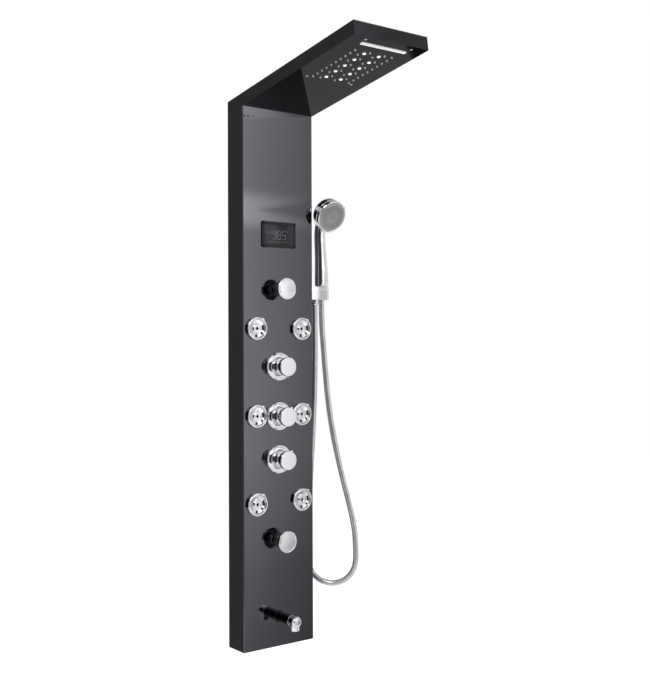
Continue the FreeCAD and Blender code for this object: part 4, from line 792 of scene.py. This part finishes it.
class SHOWER_OT_knobs(PieceOperator, bpy.types.Operator):
    """Builds the three knobs and the flanges behind them"""
    bl_idname = "shower.knobs"
    bl_label = "Knobs"

    def execute(self, context):
        flange, rise, sleeve, cap, proud = in_mm(context.scene.shower_knobs,
                                                 "flange flange_proud sleeve cap proud")
        crest = flange - 9.0
        dome = [(16.3, 0.0), (flange, 0.0), *bend((flange, 2.0), (crest, rise), rise + 2.0),
                (crest - EDGE_STRIP, rise), (18.8, rise), (16.3, rise - 1.5)]
        start, lip = rise + 0.3, proud - 10.0
        groove = (start + lip) / 2
        shape = [
            (0.0, -8.0), (4.0, -8.0), (4.0, start), (sleeve - 0.8, start, 0.2),
            (sleeve, start + 0.9, 0.6), (sleeve, groove - 1.6, 0.4),
            (sleeve - 1.3, groove - 0.9, 0.4), (sleeve - 1.3, groove + 0.9, 0.4),
            (sleeve, groove + 1.6, 0.4), (sleeve, lip - 0.6, 0.3), (cap - 0.6, lip, 0.4),
            (cap, lip + 0.8, 0.5), (cap, proud, 1.6), (0.0, proud),
        ]
        peg = [(0.0, 19.5), (2.4, 19.5), (2.4, 25.4, 0.8), (0.0, 25.5)]
        mesh = bmesh.new()
        for joint in KNOBS:
            lathe(mesh, dome, at_joint(joint), closed=True)
        finish_piece("knob_plates", mesh, "chrome", "panel", "chrome", "knob_flanges")
        for joint, (knob, angle) in KNOBS.items():
            mesh = bmesh.new()
            place = at_joint(joint)
            lathe(mesh, shape, place)
            out = moved(0, 0, lip + 5.0) @ turned(angle + 90.0, "Z") @ turned(90.0, "Y")
            lathe(mesh, peg, place @ out, steps=24)
            finish_piece(f"turning_{knob}", mesh, "chrome", knob, "chrome", knob)
        return {"FINISHED"}


class SHOWER_OT_spout(PieceOperator, bpy.types.Operator):
    """Builds the black tube, chrome tip and aerator of the bath spout"""
    bl_idname = "shower.spout"
    bl_label = "Bath Spout"

    def execute(self, context):
        low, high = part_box("spout_tube")
        place = on_face((low + high) / 2)
        down = place @ moved(0, 0, 62.5) @ turned(90.0, "X")
        mesh = bmesh.new()
        tube = [(8.5, STEM), (12.2, STEM), (12.2, 49.0, 0.3), (8.5, 49.0)]
        lathe(mesh, tube, place, closed=True)
        foot = [(12.2, 0.05), (14.0, 0.05), (14.0, 1.0, 0.7), (12.2, 1.6, 0.4)]
        lathe(mesh, foot, place, closed=True)
        finish_piece("spout_barrel", mesh, "black_chrome", "panel", "black_steel", "spout_tube")

        mesh = bmesh.new()
        nose = [
            (0.0, 49.0), (12.0, 49.0), (13.0, 49.0, 0.6), (13.0, 52.2, 0.3), (12.5, 52.6, 0.3),
            (13.0, 53.0, 0.3), (13.0, 70.0, 3.0), (9.5, 75.0, 3.0), (0.0, 76.0),
        ]
        lathe(mesh, nose, place)
        collar = [(0.0, 4.0), (10.5, 4.0), (10.5, 20.0, 0.6), (9.05, 20.0, 0.2), (9.05, 14.0),
                  (0.0, 14.0)]
        lathe(mesh, collar, down)
        finish_piece("spout_nose", mesh, "chrome", "panel", "chrome", "spout_tip")

        mesh = bmesh.new()
        screen = [(0.0, 15.0), (9.0, 15.0), (9.0, 21.0, 0.5), (7.2, 21.0, 0.3), (7.0, 19.2, 0.2),
                  (0.0, 19.0)]
        lathe(mesh, screen, down, steps=40)
        for radius, count in ((2.4, 6), (4.8, 12)):
            nozzles(mesh, down, radius, count, 0.0, 19.4, (0.8, 0.6, 0.8), 8)
        finish_piece("spout_screen", mesh, "chrome", "panel", "chrome", "spout_aerator")
        return {"FINISHED"}


def segment_digit(mesh, digit, place, tall):
    """One seven-segment digit from thin bars."""
    wide = tall * 0.52
    half = tall / 4
    spots = {"a": (0, 2 * half), "g": (0, 0), "d": (0, -2 * half), "f": (-wide / 2, half),
             "b": (wide / 2, half), "e": (-wide / 2, -half), "c": (wide / 2, -half)}
    for letter in DIGIT_BARS[digit]:
        size = (0.9, 2 * half - 1.2, 0.10) if letter in "bcef" else (wide - 1.0, 0.9, 0.10)
        block(mesh, size, place @ moved(*spots[letter], 0))


class SHOWER_OT_display(PieceOperator, bpy.types.Operator):
    """Builds the frame, glass and digits of the temperature display"""
    bl_idname = "shower.display"
    bl_label = "Display"

    def execute(self, context):
        low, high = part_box("display_bezel")
        place = on_face((low + high) / 2)
        border, proud, edge = 6.5, 3.0, 0.5
        mesh = bmesh.new()
        corners = bmesh.ops.create_grid(mesh, x_segments=1, y_segments=1, size=0.5)["verts"]
        bmesh.ops.scale(mesh, vec=((high.x - low.x) / MM, (high.z - low.z) / MM, 1.0),
                        verts=corners)
        round_off(mesh, list(mesh.verts), 2.0, 4, "VERTICES")
        raised = bmesh.ops.extrude_face_region(mesh, geom=list(mesh.faces))
        top = made_by(raised, bmesh.types.BMFace)
        bmesh.ops.translate(mesh, verts=list(top[0].verts), vec=(0, 0, proud - edge))
        for thickness, depth in ((edge, edge), (border - 0.9, 0.0), (0.4, -1.2)):
            bmesh.ops.inset_region(mesh, faces=top, thickness=thickness, depth=depth,
                                   use_even_offset=True)
        bmesh.ops.transform(mesh, matrix=place, verts=mesh.verts)
        finish_piece("display_frame", mesh, "frame", "panel", "black_plastic", "display_bezel")

        low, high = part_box("display_window")
        pane = ((high.x - low.x) / MM, (high.z - low.z) / MM, (high.y - low.y) / MM)
        mesh = bmesh.new()
        block(mesh, pane, place @ moved(0, 0, (FACE - (low.y + high.y) / 2) / MM), 0.3, 2)
        finish_piece("display_glass", mesh, "glass", "panel", "display_glass", "display_window")

        mesh = bmesh.new()
        front = (FACE - low.y) / MM + 0.03
        for x, digit in DIGITS:
            segment_digit(mesh, digit, place @ moved(x, -1.0, front), 19.0)
        block(mesh, (1.2, 1.2, 0.1), place @ moved(7.6, -10.5, front))
        for step in range(-3, 4):
            block(mesh, (5.0, 0.7, 0.1), place @ moved(8.0 * step, -17.0, front))
        degree = [(1.0, 0.0), (1.7, 0.0), (1.7, 0.1), (1.0, 0.1)]
        lathe(mesh, degree, place @ moved(24.5, 8.0, front - 0.05), closed=True, steps=24)
        finish_piece("display_digits", mesh, "digits", "panel", "display_glass")
        return {"FINISHED"}


class SHOWER_OT_plate_screws(PieceOperator, bpy.types.Operator):
    """Builds the countersunk screws of the spray plate"""
    bl_idname = "shower.plate_screws"
    bl_label = "Plate Screws"

    def execute(self, context):
        mesh = bmesh.new()
        screw = [(0.0, -5.0), (1.6, -5.0), (1.6, 0.2), (3.2, 0.3), (3.2, 0.9, 0.5),
                 (1.9, 1.25, 0.2), (1.7, 0.5), (0.0, 0.4)]
        for along in SCREW_ROWS:
            for side in (-1, 1):
                place = under_arm(side * SCREW_SIDE, along)
                lathe(mesh, screw, place, steps=24)
                for angle in (0.0, 90.0):
                    block(mesh, (3.2, 0.6, 0.7), place @ turned(angle, "Z") @ moved(0, 0, 0.45))
        finish_piece("plate_screws", mesh, "chrome", "panel", "chrome", "spray_plate_screws")
        return {"FINISHED"}


class SHOWER_OT_lights(PieceOperator, bpy.types.Operator):
    """Builds the ten light lenses under the arm, each with a bright core"""
    bl_idname = "shower.lights"
    bl_label = "Lights"

    def execute(self, context):
        lens = [(0.0, -3.0), (5.4, -3.0), (5.4, -1.5), (4.4, -1.5),
                *bend((4.4, 0.6), (CORE_RADIUS, 1.9), 4.0, steps=5), (0.0, 2.2)]
        mesh = bmesh.new()
        for row in range(LIGHT_ROWS):
            for side in (-1, 1):
                place = under_arm(side * LIGHT_SIDE, LIGHT_FIRST - row * LIGHT_PITCH)
                for face in lathe(mesh, lens, place, steps=32):
                    away, _, height = polar(face, place)
                    if away < CORE_RADIUS and height > CORE_HEIGHT:
                        face.material_index = 1
        finish_piece("light_domes", mesh, "lens light", "panel", "clear_lens", "light_lenses")
        return {"FINISHED"}


class SHOWER_OT_holder(PieceOperator, bpy.types.Operator):
    """Builds the holder, the hose's outlet nut and the cone nut"""
    bl_idname = "shower.holder"
    bl_label = "Holder and Nuts"

    def execute(self, context):
        place = moved(*HOLDER_FOOT) @ IN_MM
        socket, slot = 12.3, 7.7
        axis, reach, half, tall = 41.0, 52.0, 16.0, 33.0
        mouth = atan2(slot, sqrt(socket ** 2 - slot ** 2))
        sweep = [mouth + (2 * pi - 2 * mouth) * step / 40 for step in range(41)]
        arc = [(axis + socket * cos(turn), socket * sin(turn)) for turn in reversed(sweep)]
        plan = [(0.0, half), (0.0, -half), (reach, -half), (reach, -slot), *arc,
                (reach, slot), (reach, half)]
        outlet = place @ moved(20.0, 0, 0)
        mesh = bmesh.new()
        prism(mesh, plan, 0.0, tall, place, 0.8)
        lathe(mesh, [(8.0, -4.0), (8.0, 1.0), (4.5, 1.0), (4.5, -4.0)], outlet, closed=True)
        lathe(mesh, [(8.0, -11.5), (8.0, 1.0), (4.5, 1.0), (4.5, -11.5)],
              place @ moved(0, 0, tall / 2) @ turned(90.0, "Y"), closed=True)
        finish_piece("holder", mesh, "chrome", "panel", "chrome", "holder_block")

        mesh = bmesh.new()
        nut = [
            (7.3, -13.0), (8.2, -13.0, 0.3), (9.8, -10.4, 0.8), (9.8, -7.6, 0.3), (9.2, -7.2, 0.2),
            (9.2, -6.6, 0.2), (9.8, -6.2, 0.3), (9.8, 0.0, 0.5), (8.05, 0.0), (8.05, -4.5),
            (7.3, -4.5),
        ]
        faces = lathe(mesh, nut, outlet, closed=True, steps=60)
        flute(mesh, faces, outlet, 9.7, -5.9, -0.6)
        finish_piece("outlet_nut", mesh, "chrome", "panel", "chrome", "hose_outlet_nut")

        mesh = bmesh.new()
        cone = [
            (7.3, -2.0), (9.6, -2.0, 0.6), (9.9, 1.2, 0.2), (9.7, 1.6, 0.2), (10.0, 2.0, 0.2),
            (12.0, 28.7, 0.6), (12.0, 34.7, 0.6), (9.65, 34.7), (9.65, 23.7), (7.3, 23.7),
        ]
        lathe(mesh, cone, place @ moved(axis, 0, 0), closed=True)
        finish_piece("cone_nut", mesh, "chrome", "hose_cone", "chrome", "hose_cone_nut")
        return {"FINISHED"}


def hose_line():
    """The points of the hose's spline, close together."""
    curve = bpy.data.curves.new("hose_route", "CURVE")
    curve.dimensions = "3D"
    curve.resolution_u = 24
    spline = curve.splines.new("NURBS")
    spline.points.add(len(HOSE_ROUTE) - 1)
    for point, spot in zip(spline.points, HOSE_ROUTE):
        point.co = (*spot, 1.0)
    spline.order_u = 3
    spline.use_endpoint_u = True
    carrier = bpy.data.objects.new("hose_route", curve)
    line = bpy.data.meshes.new_from_object(carrier)
    points = [vert.co.copy() for vert in line.vertices]
    bpy.data.objects.remove(carrier)
    bpy.data.curves.remove(curve)
    bpy.data.meshes.remove(line)
    return points


def walk(points, stops):
    """The spots and directions at distances along a line of points."""
    steps = [after - before for before, after in zip(points, points[1:])]
    result, travelled, index = [], 0.0, 0
    for stop in stops:
        while index < len(steps) - 1 and travelled + steps[index].length < stop:
            travelled += steps[index].length
            index += 1
        ahead = steps[index].normalized()
        result.append((points[index] + ahead * (stop - travelled), ahead))
    return result


def follow_ring(ring, edges):
    """The new ring's points in the order of the ring that they were drawn out of."""
    fresh = {vert for edge in edges for vert in edge.verts}
    return [next(edge.other_vert(vert) for edge in vert.link_edges
                 if edge.other_vert(vert) in fresh) for vert in ring]


class SHOWER_OT_hose(PieceOperator, bpy.types.Operator):
    """Builds the wound steel hose along its route"""
    bl_idname = "shower.hose"
    bl_label = "Steel Hose"

    def execute(self, context):
        sizes = context.scene.shower_handset
        radius, groove = sizes.hose, sizes.hose - 0.5 * MM
        points = hose_line()
        total = sum((after - before).length for before, after in zip(points, points[1:]))
        windings = int(total / sizes.pitch)
        winding_profile = ((0.0, groove), (0.16, radius), (0.74, radius), (0.90, groove))
        stops = [((winding + share) * total / windings, size)
                 for winding in range(windings) for share, size in winding_profile]
        stops.append((total, groove))
        spots = walk(points, [stop for stop, _ in stops])
        mesh = bmesh.new()
        normal = Vector((0, 1, 0))
        ring = bmesh.ops.create_circle(mesh, segments=16, radius=1.0, cap_ends=True)["verts"]
        edges = list(mesh.edges)
        flat = [vert.co.copy() for vert in ring]
        for number, ((spot, ahead), (_, size)) in enumerate(zip(spots, stops)):
            normal = (normal - ahead * normal.dot(ahead)).normalized()
            across = ahead.cross(normal)
            if number:
                grown = bmesh.ops.extrude_edge_only(mesh, edges=edges)
                old = set(ring)
                edges = [edge for edge in made_by(grown, bmesh.types.BMEdge)
                         if not old.intersection(edge.verts)]
                ring = follow_ring(ring, edges)
            for vert, place in zip(ring, flat):
                vert.co = spot + (normal * place.x + across * place.y) * size
        bmesh.ops.contextual_create(mesh, geom=edges)
        piece = finish_piece("steel_hose", mesh, "wound_steel", None, "steel_hose", "hose")
        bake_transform(piece)
        return {"FINISHED"}


class SHOWER_OT_handset(PieceOperator, bpy.types.Operator):
    """Builds the hand shower: handle, head, spray face, nozzles and turning ring"""
    bl_idname = "shower.handset"
    bl_label = "Hand Shower"

    def execute(self, context):
        head, thick = in_mm(context.scene.shower_handset, "head thick")
        joint = JOINTS["handset_ring_turn"]
        centre, outward = Vector(joint["pos_m"]), Vector(joint["axis"]).normalized()
        tilt = atan2(-outward.z, -outward.y)
        face = Matrix.Translation(centre) @ Matrix.Rotation(pi / 2 + tilt, 4, "X") @ IN_MM
        foot = Vector((centre.x, JOINTS["handset_turn"]["pos_m"][1], HANDSET_FOOT))

        mesh = bmesh.new()
        neck = face @ Vector((0, 0, -14.5))
        rise, reach = (neck.z - foot.z) / MM, (neck.y - foot.y) / MM
        # The handle's ellipses: height, lean, turn in degrees, half width and half depth.
        handle = [
            (0.0, 0.0, 0.0, 17.2, 13.8), (1.2, 0.0, 0.0, 18.0, 14.5), (20.0, 0.2, 1.0, 17.9, 14.4),
            (40.0, 0.7, 2.0, 17.4, 14.1), (62.0, 2.0, 3.2, 16.4, 13.8),
            (84.0, 4.0, 4.0, 15.3, 13.6), (106.0, 6.0, 2.0, 14.7, 13.5),
            (125.0, 7.0, -4.0, 14.5, 13.5),
            (138.0, 5.6, -14.0, 14.5, 13.5), (150.0, 2.6, -28.0, 14.5, 13.5),
            (rise - 3.0, reach + 9.0, -44.0, 14.5, 13.5), (rise, reach, -56.0, 14.5, 13.5),
        ]
        sections = []
        for height, lean, turn, wide, deep in handle:
            spot = foot + Vector((0.0, lean * MM, height * MM))
            sections.append((Matrix.Translation(spot) @ turned(-turn, "X") @ IN_MM, wide, deep))
        loft(mesh, sections)
        shell = [
            (0.0, -thick), *drum_back(head, thick), (head, DRUM_RISE - thick), (head, -11.5, 0.6),
            (head - 0.9, -10.6, 0.4), (head - 0.9, -9.4, 0.3), (head - 4.2, -9.3),
            (head - 4.2, -3.0), (0.0, -3.0),
        ]
        lathe(mesh, shell, face)
        plug = [(0.0, -9.0), (9.6, -9.0), (9.6, 1.0), (0.0, 1.0)]
        lathe(mesh, plug, Matrix.Translation(foot) @ IN_MM)
        finish_piece("handset_shell", mesh, "chrome", "handset", "chrome", "handset_body")

        mesh = bmesh.new()
        core = head - 4.0
        disc = [
            (0.0, -3.0), (core, -3.0), (core, -0.6, 0.3), (core - 1.0, 0.2, 0.5),
            (core - 2.6, 0.2, 0.4), (core - 3.2, -0.4, 0.3), (core - 4.4, -0.4, 0.3),
            (core - 5.2, 0.3, 0.4), (14.0, 0.7, 3.0), (11.6, 0.7, 0.3), (11.0, 0.2, 0.2),
            (10.2, 0.2, 0.2), (9.6, 0.8, 0.3), (0.0, 1.0),
        ]
        lathe(mesh, disc, face)
        finish_piece("spray_face", mesh, "satin", "handset", "silver_plastic", "handset_face")

        mesh = bmesh.new()
        for radius, count in SPRAY_RINGS:
            nozzles(mesh, face, radius, count, radius % 1, 0.9, (1.3, 0.9, 1.5), 10)
        finish_piece("spray_nozzles", mesh, "rubber", "handset", "silicone")

        mesh = bmesh.new()
        rim = [(core + 0.3, -9.0), (head, -9.0, 0.4), (head, -2.0, 0.8), (head - 1.6, 0.0, 1.0),
               (core + 0.3, -0.8, 0.4)]
        lathe(mesh, rim, face, closed=True)
        tab = face @ turned(-55.0, "Z") @ moved(0, head - 0.2, -5.2)
        block(mesh, (8.0, 4.0, 6.6), tab, 1.0)
        finish_piece("turning_ring", mesh, "chrome", "handset_ring", "chrome", "handset_ring")
        return {"FINISHED"}


# --------------------------------------------------------------------------------- the studio

def compute(tree, operation, *values):
    """A Math node on other nodes' values and on numbers, as a value."""
    node = tree.nodes.new("ShaderNodeMath")
    node.operation = operation
    for socket, value in zip(node.inputs, values):
        if isinstance(value, float):
            socket.default_value = value
        else:
            tree.links.new(value, socket)
    return node.outputs[0]


def white_where_seen(tree, plain, seen):
    """Chooses the seen shader for camera, glossy and transmission rays, and else the plain one."""
    path = tree.nodes.new("ShaderNodeLightPath")
    ray = path.outputs["Is Camera Ray"]
    for name in ("Is Glossy Ray", "Is Transmission Ray"):
        ray = compute(tree, "MAXIMUM", ray, path.outputs[name])
    mix = tree.nodes.new("ShaderNodeMixShader")
    for socket, value in zip(mix.inputs, (ray, plain, seen)):
        tree.links.new(value, socket)
    return mix.outputs[0]


def glow(name, strength):
    """A card that only shines."""
    material = new_material(name, (0.0, 0.0, 0.0), 0.0, 1.0)
    shader_of(material).inputs["Specular IOR Level"].default_value = 0.0
    shine(material, WHITE, strength)
    return material


def own_axes(tree):
    """A piece's own X, Y and Z, as values."""
    axes = tree.nodes.new("ShaderNodeSeparateXYZ")
    tree.links.new(own_coordinates(tree), axes.inputs["Vector"])
    return axes.outputs


def face_wedge():
    """The dim wedge in the window that the column's face mirrors, darker to the right."""
    material = glow("face_wedge", 1.0)
    tree = material.node_tree
    dim = fade(tree, own_axes(tree)["X"], (1.32, 1.64), (1.32, 0.74))
    tree.links.new(dim, shader_of(material).inputs["Emission Strength"])
    return material


def front_glow():
    """The card that the column's face mirrors: bright at the upper left, dim below and right."""
    material = glow("front_card", 1.0)
    tree = material.node_tree
    axes = own_axes(tree)
    across = fade(tree, axes["X"], (1.20, 1.74), (FRONT_GLOW, FRONT_GLOW * 0.42))
    lowest, highest = GLOW_STOPS[0][0], GLOW_STOPS[-1][0]
    ramp = tree.nodes.new("ShaderNodeValToRGB")
    stops = ramp.color_ramp.elements
    for number, (height, share) in enumerate(GLOW_STOPS):
        place = (height - lowest) / (highest - lowest)
        stop = stops[number] if number < 2 else stops.new(place)
        stop.position = place
        stop.color = (share, share, share, 1.0)
    tree.links.new(fade(tree, axes["Z"], (lowest, highest), (0.0, 1.0)), ramp.inputs["Fac"])
    base = compute(tree, "MULTIPLY", across, ramp.outputs["Color"])
    away = compute(tree, "ABSOLUTE", compute(tree, "SUBTRACT", axes["Z"], WINDOW_HEIGHT))
    window = fade(tree, away, (0.035, 0.11), (1.0, 0.0), "SMOOTHSTEP")
    bright = fade(tree, axes["X"], (1.22, 1.64), (1.6, 0.2))
    total = compute(tree, "MULTIPLY_ADD", window, bright, base)
    tree.links.new(total, shader_of(material).inputs["Emission Strength"])
    return material


def floor_material():
    """Pale floor that looks white where it is seen and still takes the shadow."""
    material = moulded("pale_floor", (0.82, 0.82, 0.82), 0.7, 40.0)
    tree = material.node_tree
    away = tree.nodes.new("ShaderNodeVectorMath")
    away.operation = "LENGTH"
    tree.links.new(own_coordinates(tree), away.inputs[0])
    lamp = tree.nodes.new("ShaderNodeEmission")
    tree.links.new(fade(tree, away.outputs["Value"], (1.6, 3.4), (0.40, 0.60)),
                   lamp.inputs["Strength"])
    both = tree.nodes.new("ShaderNodeAddShader")
    plain = shader_of(material).outputs[0]
    tree.links.new(plain, both.inputs[0])
    tree.links.new(lamp.outputs[0], both.inputs[1])
    mixed = white_where_seen(tree, plain, both.outputs[0])
    tree.links.new(mixed, tree.nodes["Material Output"].inputs["Surface"])
    return material


def stage_piece(name, mesh, material):
    """Turns a bmesh into a piece of the stage."""
    data = bpy.data.meshes.new(name)
    mesh.to_mesh(data)
    mesh.free()
    data.materials.append(material)
    piece = bpy.data.objects.new(name, data)
    bpy.context.scene.collection.objects.link(piece)
    return piece


def hide_card(piece):
    """Leaves a card to reflections alone."""
    piece.visible_camera = False
    piece.visible_shadow = False
    piece.visible_diffuse = False


def flat_card(name, centre, facing, wide, tall, material):
    """A card of a width and a height that faces one way."""
    mesh = bmesh.new()
    turn = Vector(facing).to_track_quat("Z", "Y").to_matrix().to_4x4()
    corners = bmesh.ops.create_grid(mesh, x_segments=1, y_segments=1, size=0.5)["verts"]
    bmesh.ops.scale(mesh, vec=(wide, tall, 1.0), verts=corners)
    bmesh.ops.transform(mesh, matrix=Matrix.Translation(centre) @ turn, verts=corners)
    hide_card(stage_piece(name, mesh, material))


def corner_card(name, corners, material):
    """A card with the given corners."""
    mesh = bmesh.new()
    mesh.faces.new([mesh.verts.new(corner) for corner in corners])
    hide_card(stage_piece(name, mesh, material))


class SHOWER_OT_studio(PieceOperator, bpy.types.Operator):
    """Builds the floor, world, lights and camera"""
    bl_idname = "shower.studio"
    bl_label = "Studio"

    def execute(self, context):
        sizes, scene = context.scene.shower_studio, context.scene
        scene.world = scene.world or bpy.data.worlds.new("Studio")
        scene.world.use_nodes = True
        tree = scene.world.node_tree
        plain = tree.nodes["Background"]
        plain.inputs["Color"].default_value = WHITE
        plain.inputs["Strength"].default_value = sizes.world
        seen = tree.nodes.new("ShaderNodeBackground")
        seen.inputs["Color"].default_value = WHITE
        mixed = white_where_seen(tree, plain.outputs[0], seen.outputs[0])
        tree.links.new(mixed, tree.nodes["World Output"].inputs["Surface"])

        mesh = bmesh.new()
        bmesh.ops.create_circle(mesh, cap_ends=True, segments=64, radius=14.0,
                                matrix=moved(0, 0, CAD_BOX[0].z - sizes.drop))
        stage_piece("floor", mesh, floor_material())
        for name, (centre, facing, wide, tall, strength) in CARDS.items():
            flat_card(name, centre, facing, wide, tall, glow(name, strength))
        flat_card("front_card", (1.55, -2.2, 0.40), (0.0, 1.0, 0.0), 2.1, 4.2, front_glow())
        corner_card("face_wedge", FACE_WEDGE, face_wedge())
        corner_card("arm_wedge", ARM_WEDGE, glow("arm_wedge", 0.02))

        light = bpy.data.lights.new("key", "AREA")
        light.shape = "RECTANGLE"
        light.size, light.size_y = 1.6, 1.6
        light.energy = sizes.key
        lamp = bpy.data.objects.new("key", light)
        lamp.location = (-2.2, -2.6, 2.6)
        lamp.rotation_euler = (-lamp.location).to_track_quat("-Z", "Y").to_euler()
        scene.collection.objects.link(lamp)

        lens = bpy.data.cameras.new("camera")
        lens.lens = 54.82
        lens.sensor_width = 36.0
        camera = bpy.data.objects.new("camera", lens)
        camera.location = (-1.38954, -2.08270, 0.06599)
        camera.rotation_euler = (pi / 2 + 0.00571, 0.00328, -0.64804)
        scene.collection.objects.link(camera)
        scene.camera = camera
        scene.view_settings.view_transform = "Standard"
        return {"FINISHED"}


class SHOWER_PT_panel(bpy.types.Panel):
    """Lists the pieces of the shower panel column"""
    bl_label = "Shower Panel"
    bl_idname = "SHOWER_PT_panel"
    bl_space_type = "VIEW_3D"
    bl_region_type = "UI"
    bl_category = "Shower Panel"

    def draw(self, context):
        for operator in OPERATORS:
            self.layout.operator(operator.bl_idname, text=operator.bl_label)
        for name, group in SETTINGS.items():
            box = self.layout.box()
            box.label(text=group.__doc__)
            for key in group.__annotations__:
                box.prop(getattr(context.scene, name), key)


SETTINGS = {"shower_finishes": FinishSettings, "shower_jets": JetSettings,
            "shower_swivels": SwivelSettings, "shower_knobs": KnobSettings,
            "shower_handset": HandsetSettings, "shower_studio": StudioSettings}
OPERATORS = (SHOWER_OT_studio, SHOWER_OT_steel, SHOWER_OT_seam_shade_strip, SHOWER_OT_body_jets,
             SHOWER_OT_swivel_jets, SHOWER_OT_knobs, SHOWER_OT_spout, SHOWER_OT_display,
             SHOWER_OT_plate_screws, SHOWER_OT_lights, SHOWER_OT_holder, SHOWER_OT_hose,
             SHOWER_OT_handset)
CLASSES = (*SETTINGS.values(), *OPERATORS, SHOWER_PT_panel)


def register():
    for item in CLASSES:
        bpy.utils.register_class(item)
    for name, group in SETTINGS.items():
        setattr(bpy.types.Scene, name, PointerProperty(type=group))


def unregister():
    for name in SETTINGS:
        delattr(bpy.types.Scene, name)
    for item in reversed(CLASSES):
        bpy.utils.unregister_class(item)


def main():
    """Registers the add-on and builds every piece in order."""
    register()
    for operator in OPERATORS:
        group, name = operator.bl_idname.split(".")
        getattr(getattr(bpy.ops, group), name)()


if __name__ == "__main__":
    main()
